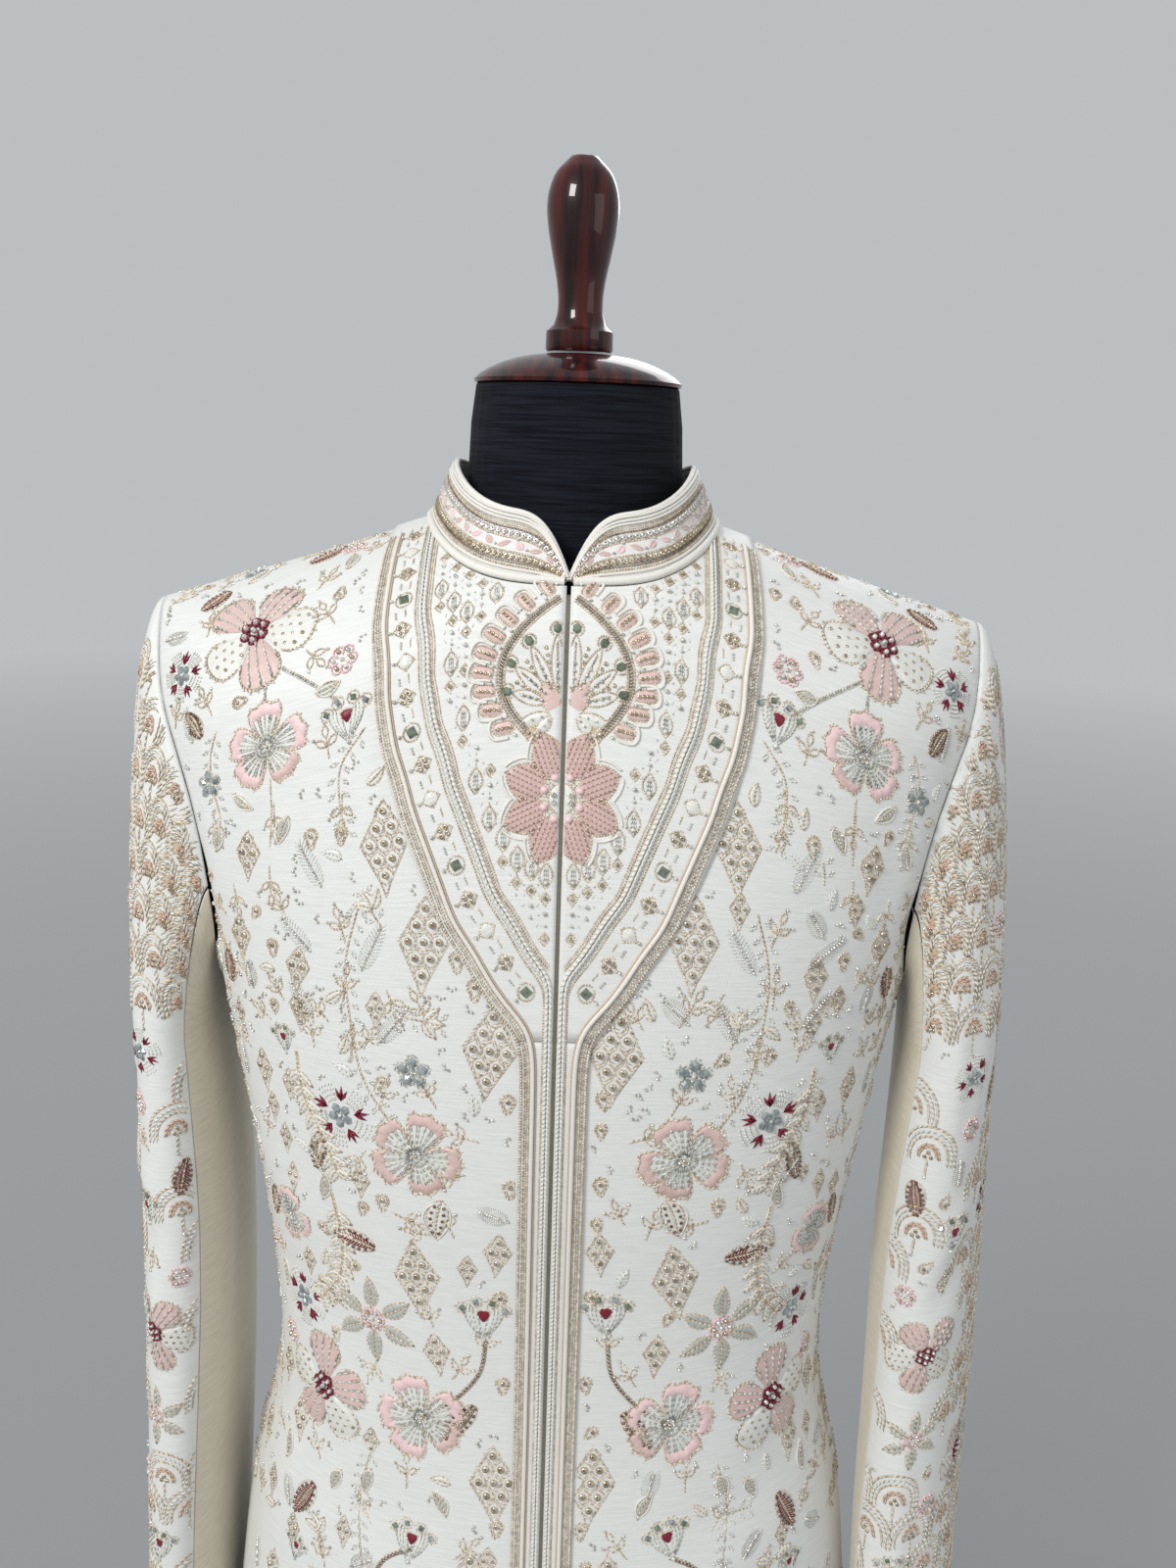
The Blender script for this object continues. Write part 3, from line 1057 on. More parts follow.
# ---------------------------------------------------------------- cloth shells
def shell(name, points, normals, spots, material, wall):
    """A thin cloth piece on a grid of points, its wall on the inner side."""
    rows, columns = points.shape[:2]
    faces = [(k, k + 1, k + columns + 1, k + columns)
             for i in range(rows - 1) for k in range(i * columns, (i + 1) * columns - 1)]
    i, j = rows // 2, columns // 2
    outward = np.cross(points[i, j] - points[i, j - 1], points[i, j] - points[i - 1, j])
    if np.dot(outward, normals[i, j]) < 0:
        faces = [f[::-1] for f in faces]
    mesh = bpy.data.meshes.new(name)
    mesh.from_pydata(points.reshape(-1, 3).tolist(), [], faces)
    layer = mesh.uv_layers.new(name="thread")
    order = np.empty(len(mesh.loops), np.int32)
    mesh.loops.foreach_get("vertex_index", order)
    layer.data.foreach_set("uv", spots.reshape(-1, 2)[order].astype(np.float32).ravel())
    mesh.shade_smooth()
    obj = bpy.data.objects.new(name, mesh)
    bpy.context.scene.collection.objects.link(obj)
    mesh.materials.append(material)
    bpy.ops.object.select_all(action="DESELECT")
    obj.select_set(True)
    bpy.context.view_layer.objects.active = obj
    wall_modifier = obj.modifiers.new("wall", "SOLIDIFY")
    wall_modifier.thickness, wall_modifier.offset = wall, -1.0
    bpy.ops.object.modifier_apply(modifier="wall")
    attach(obj, "root")
    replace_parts(obj, name.removesuffix("_cloth"))


def spots_of(points, column):
    """Where each point lies on the flat cloth; up is measured along one column."""
    run = row_lengths(points)
    return np.stack([run, np.broadcast_to(lengths(points[:, column])[:, None], run.shape)], -1)


def panel(face, side):
    """A front or a back, from the centre line to the side seam and the armhole."""
    rows = np.concatenate([np.linspace(0, 1, 62), np.linspace(1, 1.6, 22)[1:],
                           np.linspace(1.6, 1.99, 18)[1:], [2.0]])
    edge = np.where(rows <= 1.0, half_width(HEM_Z + (ARMPIT_Z - HEM_Z) * rows),
                    armhole_edge[face](row_z(face, np.full_like(rows, SHOULDER_END), rows)))
    if face == "front":
        gap = closure_gap(row_z(face, np.zeros_like(rows), rows))
    else:
        gap = np.full_like(rows, 0.0004)
    # the columns are half way between even steps across and even turns round the body
    width = half_width(row_z(face, edge, rows))
    first, last = (np.arcsin(np.clip(x / width, 0, 1) ** (SQUARENESS / 2)) for x in (gap, edge))
    share = np.concatenate([np.linspace(0, 0.985, 31), [1.0]])
    turn = first[:, None] + (last - first)[:, None] * share[None]
    even = gap[:, None] + (edge - gap)[:, None] * share[None]
    x = 0.5 * width[:, None] * np.sin(turn) ** (2 / SQUARENESS) + 0.5 * even
    x[:, 0], x[:, -1] = gap, edge
    points, normals = body_place(face, side, x, rows[:, None])
    shell(f"{face}_{LABEL[side]}_cloth", points, normals, spots_of(points, 20), ivory_silk, CLOTH)


def sleeve_shell(side, part):
    half_seam = 0.55        # degrees
    if part == "upper":
        first, last, columns = BACK_SEAM - 360 + half_seam, FRONT_SEAM - half_seam, 40
    else:
        first, last, columns = FRONT_SEAM + half_seam, BACK_SEAM - half_seam, 22
    angles = np.concatenate([[first], np.linspace(first + 1, last - 1, columns), [last]])
    along = np.concatenate([np.linspace(0, 1, 27), np.linspace(1, 2, 51)[1:]])
    points, normals = sleeve_place(side, angles[None], along[:, None])
    material, slot = (ivory_silk, "coat_silk") if part == "upper" else (cream_silk, "under_silk")
    shell(f"sleeve_{part}_{LABEL[side]}_cloth", points, normals, spots_of(points, 10), material,
          CLOTH)


def shell_of_front(name, rows, near, far, lift, wall, material, columns, side=1):
    """A piece sewn on the front between two edges given in metres from the centre line."""
    share = np.linspace(0, 1, columns)
    x = near[:, None] + (far - near)[:, None] * share[None]
    points, normals = body_place("front", side, np.abs(x), rows[:, None])
    points = points + normals * lift
    mirror = np.where(x < 0, -1.0, 1.0)
    points[..., 0] *= mirror
    normals[..., 0] *= mirror
    shell(name, points, normals, spots_of(points, 1), material, wall)


def trim_shells(side):
    """The bib and the centre band of one front."""
    start = 1.0 + 0.6 * (1.2200 - ARMPIT_Z) / (1.4840 - SHOULDER_ROUNDING - ARMPIT_Z)
    for name, rows, slot, columns in (
            ("yoke", np.concatenate([np.linspace(start, 1.6, 30), np.linspace(1.6, 1.985, 20)[1:],
                                     [1.99]]), "coat_silk", 25),
            ("centre_band", np.linspace(0, start - 0.0004, 90), "white_braid", 4)):
        gap = closure_gap(row_z("front", np.zeros_like(rows), rows))
        far = np.full_like(rows, 0.0170 if name == "centre_band" else 0.096)
        for _ in range(8 if name == "yoke" else 0):
            far = yoke_edge(row_z("front", far, rows))
        shell_of_front(f"{name}_{LABEL[side]}_cloth", rows, gap, far, TRIM_LIFT, TRIM_WALL,
                       ivory_silk, columns, side)


def strip_shell():
    """The strip that closes the gap from behind."""
    wall = 0.0008
    start = (SLIT_TOP_Z - HEM_Z) / (ARMPIT_Z - HEM_Z)
    rows = np.concatenate([np.linspace(start, 1.6, 60), np.linspace(1.6, 1.965, 16)[1:]])
    edge = np.full_like(rows, 0.0200)
    shell_of_front("under_strip_cloth", rows, -edge, edge, -(CLOTH + 0.0008), wall, cream_silk,
                   7)


def collar_shell():
    """The whole collar, from one front edge round the back to the other."""
    length = np.concatenate([np.linspace(0.0018, 0.045, 30),
                             np.linspace(0.045, COLLAR_HALF, 66)[1:]])
    share = np.linspace(0, 1, 13)
    near = collar_place(-1, length[None], share[:, None])
    far = collar_place(1, length[None], share[:, None])
    points, normals = (np.concatenate([a, b[:, ::-1][:, 1:]], 1) for a, b in zip(near, far))
    run = np.concatenate([length, 2 * length.max() - length[::-1][1:]])
    spots = np.stack(np.broadcast_arrays(run[None], (share * 0.031)[:, None]), -1)
    shell("collar_cloth", points, normals, spots, ivory_silk, 0.0022)


# ---------------------------------------------------------------- layouts
def nearest_spots(cloth, x, z):
    """Where points of known width and height lie on the flat cloth."""
    spots = []
    for a, b in zip(np.atleast_1d(x), np.atleast_1d(z)):
        off = (np.abs(cloth.points[..., 0]) - a) ** 2 + (cloth.points[..., 2] - b) ** 2
        i, j = np.unravel_index(np.argmin(off), off.shape)
        spots.append((cloth.across[j], cloth.up[i]))
    return np.array(spots)


def moved_in(path, distance):
    """A line moved sideways, to the left of its own direction; distance in metres."""
    ahead = unit(np.gradient(path, axis=0))
    return path + xy(-ahead[:, 1], ahead[:, 0]) * np.reshape(distance, (-1, 1))


def panel_keep(cloth, face):
    """Stitches stay on the panel, clear of its seams."""
    hole = np.array([nearest_spots(cloth, front if face == "front" else back, height)[0]
                     for height, front, back in ARMHOLE])
    rows = np.linspace(HEM_Z, ARMPIT_Z, 40)
    quarter = np.linspace(0, math.pi / 2, 200)
    side_run = []
    for z in rows:
        x = float(half_width(z)) * np.sin(quarter) ** (2 / SQUARENESS)
        y = float(body_depth[face](z)) * np.cos(quarter) ** (2 / SQUARENESS)
        side_run.append(np.hypot(np.diff(x), np.diff(y)).sum())
    ups = np.concatenate([rows - HEM_Z, hole[1:, 1]])
    runs = np.concatenate([side_run, hole[1:, 0]])

    def keep(across, up):
        return (across < np.interp(up, ups, runs) - 0.004) & (up > 0.004) & (
            up < cloth.up[-1] - 0.003)
    return keep


# What is embroidered: pattern, across and up in millimetres, turn, size
LOWER_GROUP = (
    ("lattice", 33, 826, 0, 1), ("stones", 72, 811, 0, 1), ("star", 115, 780, 8, 1),
    ("rayed_rose", 70, 763, 20, 1), ("sequin_leaf", 58, 739, -78, 22),
    ("crimson_leaf", 96, 699, 8, 23), ("silver_star", 99, 652, 0, 1), ("tulip", 33, 664, 0, 1),
    ("lattice", 69, 690, 0, .95), ("rayed_pink", 70, 594, -10, 1.05),
    ("striped", 134, 594, 60, .92), ("brown_leaf", 41, 607, -60, 26), ("lattice", 27, 560, 0, 1),
    ("crimson_leaf", 143, 527, -62, 25), ("tulip", 74, 516, 10, .95), ("drop", 23, 800, -90, 1),
    ("drop", 23, 750, -90, 1), ("lattice_small", 26, 708, 0, 1), ("drop", 25, 680, -90, 1),
    ("drop", 24, 625, -90, 1), ("drop", 23, 530, -90, 1), ("drop", 90, 735, -90, 1),
    ("halo_leaf", 128, 725, 100, 14), ("brown_leaf", 128, 765, -80, 22),
    ("sprig", 50, 715, 70, 11), ("sprig", 40, 775, 15, 12), ("sprig", 45, 755, -15, 11),
    ("sprig", 84, 725, 200, 12), ("sprig", 93, 790, 110, 12), ("sprig", 60, 792, 60, 11),
    ("sprig", 34, 640, 92, 8), ("sprig", 95, 625, -70, 10), ("sprig", 117, 655, 20, 10),
    ("sprig", 50, 620, 120, 9), ("lattice_small", 60, 640, 0, 1),
    ("halo_leaf", 100, 553, -70, 13), ("halo_leaf", 52, 535, 60, 13), ("sprig", 78, 548, 90, 13),
    ("halo_leaf", 120, 545, -60, 12), ("lattice_small", 155, 560, 0, 1),
    ("sprig", 100, 520, 60, 12), ("sprig", 48, 510, 130, 12), ("feather", 125, 738, 60, 16),
    ("pinkbud", 157, 700, 15, 1), ("star", 149, 645, -6, .95), ("small_pink", 168, 610, 0, .9),
    ("halo_leaf", 172, 640, 80, 14), ("lattice_small", 176, 585, 0, 1),
    ("halo_leaf", 168, 530, 95, 15), ("brown_leaf", 178, 690, 100, 20),
    ("sprig", 176, 745, 100, 12), ("lattice_small", 170, 790, 0, 1), ("red_bud", 150, 815, 0, 1),
    ("sprig", 128, 815, 80, 10), ("sprig", 100, 760, -60, 10), ("small_pink", 190, 665, 0, .8),
    ("sprig", 190, 560, 80, 12), ("feather", 196, 615, 95, 16), ("halo_leaf", 192, 720, 85, 13),
    ("feather", 192, 775, 80, 16), ("sprig", 200, 515, 95, 12))
UPPER_GROUP = (
    ("striped", 168, 1054, 22, 1), ("star", 214, 1036, 10, .85),
    ("small_pink", 113, 1021, 0, .95), ("rayed_pink", 155, 987, 0, .95),
    ("tulip", 110, 990, -4, .9), ("crimson_leaf", 146, 1106, 150, 20),
    ("lattice", 88, 927, 0, .92), ("lattice", 68, 880, 0, .95),
    ("crimson_leaf", 205, 1085, 140, 18), ("lattice_small", 166, 925, 0, 1.1),
    ("lattice_small", 178, 876, 0, 1.1), ("lattice_small", 137, 862, 0, 1),
    ("lattice_small", 136, 835, 0, .8), ("sprig", 150, 955, -90, 12),
    ("sprig", 152, 918, -90, 14), ("stones", 192, 968, 0, .9), ("sprig", 190, 950, -90, 12),
    ("sprig", 120, 1045, 60, 11), ("sprig", 110, 958, -85, 11), ("halo_leaf", 128, 1008, 170, 10),
    ("halo_leaf", 177, 962, 215, 12), ("halo_leaf", 140, 948, -60, 12),
    ("drop", 128, 935, -90, 1), ("drop", 49, 870, -90, 1), ("drop", 41, 857, -90, 1),
    ("drop", 33, 853, -90, .9), ("feather", 120, 906, 62, 24), ("feather", 100, 862, 118, 22),
    ("feather", 128, 868, 40, 22), ("feather", 93, 826, 125, 20), ("feather", 128, 832, 50, 20),
    ("sprig", 108, 878, 75, 11), ("sprig", 110, 845, 90, 12), ("sprig", 105, 812, 90, 12),
    ("sprig", 62, 838, 60, 13), ("sprig", 85, 855, 240, 9), ("halo_leaf", 120, 1085, 100, 13),
    ("small_pink", 118, 1112, 0, .85), ("sprig", 135, 1075, 110, 10),
    ("halo_leaf", 180, 1100, 120, 14), ("sprig", 196, 1060, 100, 10),
    ("sprig", 190, 1010, 60, 10), ("feather", 205, 995, 80, 17),
    ("brown_leaf", 200, 1000, 60, 16), ("sprig", 120, 975, 80, 9), ("drop", 112, 935, -90, .9),
    ("sprig", 180, 905, -95, 12), ("halo_leaf", 190, 925, 100, 13), ("drop", 155, 872, -90, 1),
    ("drop", 119, 1064, 90, .9), ("sprig", 155, 1120, 120, 9), ("stones", 180, 1120, 0, .7),
    ("drop", 205, 1118, 60, .9), ("sprig", 175, 840, 90, 14), ("crimson_leaf", 195, 835, 100, 20))
DRAW = {        # each draws on (work, across, up, turn, size)
    "lattice": lattice,
    "lattice_small": lambda w, a, u, t, s: lattice(w, a, u, t, s * .85, (1, 2, 1)),
    "stones": lambda w, a, u, t, s: stone_flower(w, a, u, t, s * 1.05),
    "star": crimson_star,
    "rayed_rose": lambda w, a, u, t, s: rayed_flower(w, a, u, t, s, "rose_pink", "rose"),
    "rayed_pink": lambda w, a, u, t, s: rayed_flower(w, a, u, t, s, "pink", "rose_pink"),
    "striped": striped_flower,
    "silver_star": star_flower,
    "small_pink": small_flower,
    "tulip": tulip,
    "pinkbud": lambda w, a, u, t, s: rayed_flower(w, a, u, t, s * .72, "pink", "rose_pink", 4),
    "red_bud": lambda w, a, u, t, s: tulip(w, a, u, t, s * .72),
    "drop": drop,
    "sequin_leaf": lambda w, a, u, t, s: leaf(w, a, u, t, s, 11, beads="brown_sequin", halo=True),
    "crimson_leaf": edged_leaf,
    "brown_leaf": lambda w, a, u, t, s: edged_leaf(w, a, u, t, s, 9, "brown"),
    "halo_leaf": lambda w, a, u, t, s: leaf(w, a, u, t, s, 5.5, "silver_satin", halo=True),
    "feather": feather,
    "sprig": sprig,
}
# The room that each pattern takes, as a radius in metres, and how much larger it is drawn
# than its group says.
ROOM = {"lattice": .019, "lattice_small": .012, "stones": .011, "star": .0165,
        "rayed_rose": .0235, "rayed_pink": .0235, "striped": .027, "silver_star": .021,
        "small_pink": .008, "tulip": .015, "pinkbud": .017, "red_bud": .012, "drop": .0065,
        "sequin_leaf": .012, "crimson_leaf": .012, "brown_leaf": .012, "halo_leaf": .008,
        "feather": .010, "sprig": .009}
GROWTH = {"rayed_rose": 1.22, "rayed_pink": 1.22, "striped": 1.28, "star": 1.22,
          "silver_star": 1.28, "tulip": 1.18, "lattice": 1.06, "pinkbud": 1.2,
          "small_pink": 1.15, "feather": 1.25, "sprig": 1.1, "crimson_leaf": 1.15,
          "brown_leaf": 1.15, "halo_leaf": 1.25, "sequin_leaf": 1.1}
FILLERS = {"spray": .0105, "sprig": .0068, "feather": .0088, "lattice_dot": .0068,
           "white_leaf": .0050, "drop": .0048, "beads": .0026, "twig": .0070}
LARGE_FILLERS = ("spray", "sprig", "feather", "lattice_dot")
SMALL_FILLERS = ("white_leaf", "sprig", "drop", "beads", "twig")


def room_of(kind, size):
    """A leaf's size is its length in millimetres; any other pattern's is its scale."""
    return ROOM[kind] * (size if size < 3 else 1.0) * GROWTH.get(kind, 1.0)


def fill_in(w, low, high, reach, seed, tries=5200, near=0.018):
    """Small leaves, drops and bead groups where the cloth is still bare."""
    chance = np.random.default_rng(seed)
    taken, gap = list(w.taken), .0008
    lines = np.concatenate(w.lines) if w.lines else np.zeros((0, 2))
    for k in range(tries):
        a, u = chance.uniform(near, reach), chance.uniform(low, high)
        kinds = LARGE_FILLERS if k < tries / 3 else SMALL_FILLERS
        kind = kinds[chance.integers(len(kinds))]
        room = FILLERS[kind]
        if not w.keep(np.array([a + room, a - room]), np.array([u, u])).all():
            continue
        if any((a - x) ** 2 + (u - y) ** 2 < (room + r + gap) ** 2 for x, y, r in taken):
            continue
        if len(lines) and ((lines - [a, u]) ** 2).sum(1).min() < (room + .001) ** 2:
            continue
        angle = 90 + chance.normal(0, 55)

        def back(distance):
            """Where a pattern of this half length starts."""
            x, y = polar(distance, angle)
            return a - x, u - y
        if kind == "feather":
            feather(w, *back(.0085), angle, 18, 10)
        elif kind == "spray":
            bead_twig(w, [back(.0110), (a + .001, u), back(-.0110)])
            for turn in (-48, 0, 48):
                leaf(w, a, u, angle + turn, 10, 5)
        elif kind == "white_leaf":
            leaf(w, *back(.0055), angle, 11, 5.2, "white_satin",
                 "zari" if chance.random() < .5 else "white_satin")
        elif kind == "sprig":
            sprig(w, *back(.0065), angle, 8.5, "crystal" if chance.random() < .6 else "gold_bead")
        elif kind == "drop":
            drop(w, a, u, angle - 180, .85)
        elif kind == "twig":
            x, y = back(-.0063)
            bead_twig(w, [back(.007), (a, u), (x - .001, y)])
        elif kind == "lattice_dot":
            lattice(w, a, u, 0, .62, (1, 2, 1))
        else:
            w.pen(a, u, angle)
            w.dots([(0, 0), (2.0, 1.0), (-1.8, 1.2)], 1.7, "crystal", BEAD, .8)
        taken.append((a, u, room))


def draw_group(w, group, shift_up=0.0, shift_across=0.0, seed=1, mirror=None):
    """Draws a group; seed makes small differences between one drawing and the next."""
    chance = np.random.default_rng(seed)
    for kind, across, up, turn, size in group:
        nudge = chance.normal(0, 0.0012, 2)
        angle = turn + chance.normal(0, 4)
        a = across / 1000 + shift_across + nudge[0]
        u = up / 1000 + shift_up + nudge[1]
        if mirror is not None:
            a, angle = mirror - a, 180 - angle
        if a < 0.002 or u < 0.012 or not w.keep(np.array([a]), np.array([u]))[0]:
            continue
        DRAW[kind](w, a, u, angle, size * GROWTH.get(kind, 1.0))
        w.taken.append((a, u, room_of(kind, size)))


def vines(w, shift=0.0):
    """The stems that join the flowers of the lower group."""
    for points, thread in (
            (((.033, .650), (.036, .630), (.048, .612), (.070, .594)), "brown"),
            (((.141, .810), (.139, .790), (.125, .760), (.116, .740)), "zari"),
            (((.122, .728), (.117, .700), (.120, .672), (.136, .650)), "zari"),
            (((.074, .510), (.090, .500), (.100, .480), (.106, .462)), "brown")):
        line = [(a, u + shift) for a, u in points if u + shift > .01]
        stem(w, line, 2.3, thread)
        if thread == "zari":
            spots, turns = evenly(smooth_line(np.array(line) * 1000, 40), 8.5)
            for (x, y), t in zip(spots[1:], turns[1:]):
                for side in (1, -1):
                    leaf(w, x / 1000, y / 1000, math.degrees(t) + side * 50, 10.5, 4.8)
    bead_twig(w, [(a, u + shift) for a, u in ((.100, .900), (.108, .868), (.106, .835),
                                              (.098, .800), (.086, .782))])


def shoulder_vines(w):
    """The stems that join the flowers of the upper group."""
    stem(w, [(.160, 1.036), (.150, 1.028), (.128, 1.012), (.116, 1.002)], 1.7, "silver")
    stem(w, [(.158, 1.032), (.157, 1.020), (.156, 1.006)], 1.6, "silver")
    bead_twig(w, [(.152, .968), (.151, .950), (.152, .930)], leaves=False)
    bead_twig(w, [(.100, .985), (.112, .968), (.112, .950), (.108, .932)])
    bead_twig(w, [(.188, 1.000), (.192, .985), (.190, .965), (.186, .945), (.190, .930)])


def front_work(side):
    """The flowers of one front: on the chest, round the waist and down the skirt."""
    cloth = fronts[side]
    on_panel = panel_keep(cloth, "front")
    heights, ups = np.linspace(1.222, 1.4605, 40), np.linspace(0, 1.2, 400)
    spots = nearest_spots(cloth, yoke_edge(heights), heights)
    yoke_out = np.interp(ups, spots[:, 1], spots[:, 0], left=0.0175)

    def keep(across, up):
        clear = np.interp(up, ups, yoke_out) + 0.0012
        return on_panel(across, up) & (across > np.maximum(clear, 0.0185))

    def part(name, coarse):
        work = Work(f"front_{LABEL[side]}_needlework_{name}", cloth, ON_COAT, keep)
        work.coarse = coarse
        return work
    upper = part("upper", 1.25)
    draw_group(upper, UPPER_GROUP, 0.004 if side > 0 else 0.0, seed=11 + side)
    shoulder_vines(upper)
    fill_in(upper, .84, 1.135, .235, 61 + side)
    upper.build()
    middle = part("middle", 1.7)
    draw_group(middle, LOWER_GROUP, 0.002 if side > 0 else 0.0, seed=21 + side)
    vines(middle)
    fill_in(middle, .49, .85, .24, 71 + side)
    middle.build()
    skirt = part("skirt", 3.6)
    draw_group(skirt, LOWER_GROUP, -0.335, 0.004, seed=31 + side)
    vines(skirt, -0.335)
    draw_group(skirt, LOWER_GROUP, -0.675, 0.006, seed=41 + side)
    large = [row for row in LOWER_GROUP
             if row[0] not in ("sprig", "feather", "drop", "halo_leaf", "brown_leaf", "star")]
    draw_group(skirt, large, -0.42, seed=33 + side, mirror=0.335)
    skirt.build()


FLOWER_UP = 0.9415      # the middle of the bib's flower, up the cloth


def diamond(wide, tall):
    return [(0, tall), (wide, 0), (0, -tall), (-wide, 0), (0, tall)]


def there_and_back(line, wide):
    """An outline that runs along one side of a straight line and back on the other."""
    return np.concatenate([xy(line, -wide), xy(line, wide)[::-1]])


def chain_column(w, across, top, bottom, keep_spot):
    """A hanging row: a stone in a pointed ring, a small square, then two beads, over again."""
    up, k = top, 0
    while up > bottom:
        kind = k % 4
        size = (0.0125, 0.0065, 0.0050, 0.0045)[kind]
        centre = up - size / 2
        if keep_spot(across, centre, size * .4):
            w.pen(across, centre)
            if kind == 0:
                t = np.linspace(0, 1, 13)
                for side in (1, -1):
                    w.rope(xy(side * 3.3 * np.sin(t * math.pi), 5.8 - 11.6 * t), .9,
                           "zari", 1.05)
                for off in (-1.1, 0, 1.1):
                    w.rope([(off * .7, 3.4), (off, -2.2)], .8, "white_satin", 1.3, 0, .9)
                w.dots([(0, -3.0)], 2.6, "silver", BEAD, .7, .2)
            elif kind == 1:
                w.rope(diamond(2.5, 2.9), .8, "zari", 1.0)
                w.stamp(KITE, [(0, 0)], 0, 2.9, 2.9, 1.2, "gold_bead")
            elif kind == 2:
                w.dots([(0, 0)], 2.4, "crystal", BEAD, .8)
            else:
                w.dots([(0, 0)], 1.8, "silver", BEAD, .8)
            up -= size + .0006
            k += 1
        elif kind == 0 and keep_spot(across, up - .003, .002):
            k += 1
        else:
            up -= .002


def edge_of_front(cloth):
    """The outer edge of the trim: up the centre band, then round the bib to the shoulder."""
    heights = np.linspace(1.2215, 1.4600, 70)
    bib = nearest_spots(cloth, yoke_edge(heights), heights)
    bib = smooth_line(bib[::4], 200)
    band = xy(np.full(120, 0.0172), np.linspace(0.004, bib[0, 1] - .004, 120))
    return np.concatenate([band, bib]), bib


def trimmed(line, count):
    """The part of a line that is on the trim, in an even number of steps."""
    line = line[(line[:, 0] > 0.0022) & (line[:, 1] < 1.1365) & (line[:, 1] > .004)]
    step = lengths(line)
    where = np.linspace(0, step[-1], count)
    return np.stack([np.interp(where, step, line[:, k]) for k in range(2)], 1)


def rounded(line, times=3):
    """A line with its corners eased."""
    for _ in range(times):
        line = np.concatenate([line[:1], (line[:-2] + 2 * line[1:-1] + line[2:]) / 4, line[-1:]])
    return line


def edge_cords(side, whole, border):
    """The cords on the trim's outer edge, its inner border and the closure."""
    def kept(a, u):
        return (a > 0.0020) & (u < 1.137) & (u > .004)
    w = Work(f"edge_cords_{LABEL[side]}", fronts[side], ON_TRIM, kept)

    def along(distance):
        return rounded(trimmed(moved_in(rounded(whole, 6), distance), 300), 5) * 1000
    w.rope(along(.0010), 1.5, "zari", 1.15)
    w.rope(along(.0026), .8, "silver", 1.9, 0, .9)
    w.braid(along(.0043), 2.5, "zari", 1.5)
    w.cord(along(.0068), 1.25, "cord", sides=5)
    w.cord(along(.0083), .50, "tan", .1, sides=4)
    closure = np.linspace(0.004, 0.868, 200)
    opening = closure_gap(closure + HEM_Z)

    def white_twist(p):
        for off in (-.95, .95):
            w.cord(moved_in(p, off), 1.0, "cord", .3, 6)
        w.braid(p, 3.4, "white_satin", 2.6, .5, 1.0)
    for off, draw in (
            (-.0040, lambda p: w.rope(p, 1.0, "zari", 1.0)),
            (-.0027, lambda p: w.rope(p, .6, "white_satin", 1.6, 0, .9)),
            (0.0, white_twist),
            (.0028, lambda p: w.rope(p, 1.1, "zari", 1.0)),
            (.0042, lambda p: w.rope(p, .7, "zari", 1.0))):
        line = moved_in(border, off)
        line = line[line[:, 0] > 0.0030]
        if off <= 0:
            down = xy(opening + .0024 - off * .55, closure)
            down = down[down[:, 1] < line[0, 1] - .003]
            line = np.concatenate([down, line])
        draw(rounded(trimmed(line, 300), 3) * 1000)
    w.cord(xy(opening + .0003, closure) * 1000, .55, "silver_satin", .2, 4)
    w.build("white_braid")


def border_stones(side, edge, spread):
    """The row of stones and small diamonds between the borders."""
    w = Work(f"yoke_{LABEL[side]}_borders", fronts[side], ON_TRIM,
                lambda a, u: (a > 0.0022) & (u < 1.137))
    outer, inner = 0.0083, spread - 0.0045
    middle = rounded(trimmed(moved_in(edge, outer + (inner - outer) * .56), 260), 4)
    middle = middle[(middle[:, 0] > 0.008) & (middle[:, 1] < 1.128)]
    spots, turns = evenly(middle, 0.0172)
    for k, ((a, u), t) in enumerate(zip(spots, turns)):
        w.pen(a, u, math.degrees(t))
        kind = (k + 1) % 4
        if kind in (0, 2):
            w.dots([(-1.5, -1.5), (1.5, -1.5), (-1.5, 1.5), (1.5, 1.5)], 2.9, "gold_sequin",
                      SEQUIN, .5)
            w.rope(diamond(4.4, 4.7), .8, "zari", 1.1)
        elif kind == 1:
            w.stamp(KITE, [(0, 0)], math.radians(45), 6.6, 6.6, 1.8, "sage")
            w.rope(arc(4.2, 0, 350, 20), .9, "zari", 1.05)
        else:
            w.satin(arc(3.3, 0, 180, 9), arc(3.3, 0, -180, 9), "white_satin", .8)
            w.rope(diamond(4.2, 4.6), .9, "zari", 1.1)
        w.dots([(0.5, -6.3)], 2.0, "crystal", BEAD, .85)
        w.dots([(7.2, -2.5), (8.6, -2.5), (10.0, -2.5)], 1.3, "silver", BEAD, .85)
        w.rope([(6.4, 2.4), (10.8, 2.4)], .7, "zari", 1.1)
        w.rope([(.3, -4.4), (.4, -5.2)], .8, "zari", .8)
    w.build()


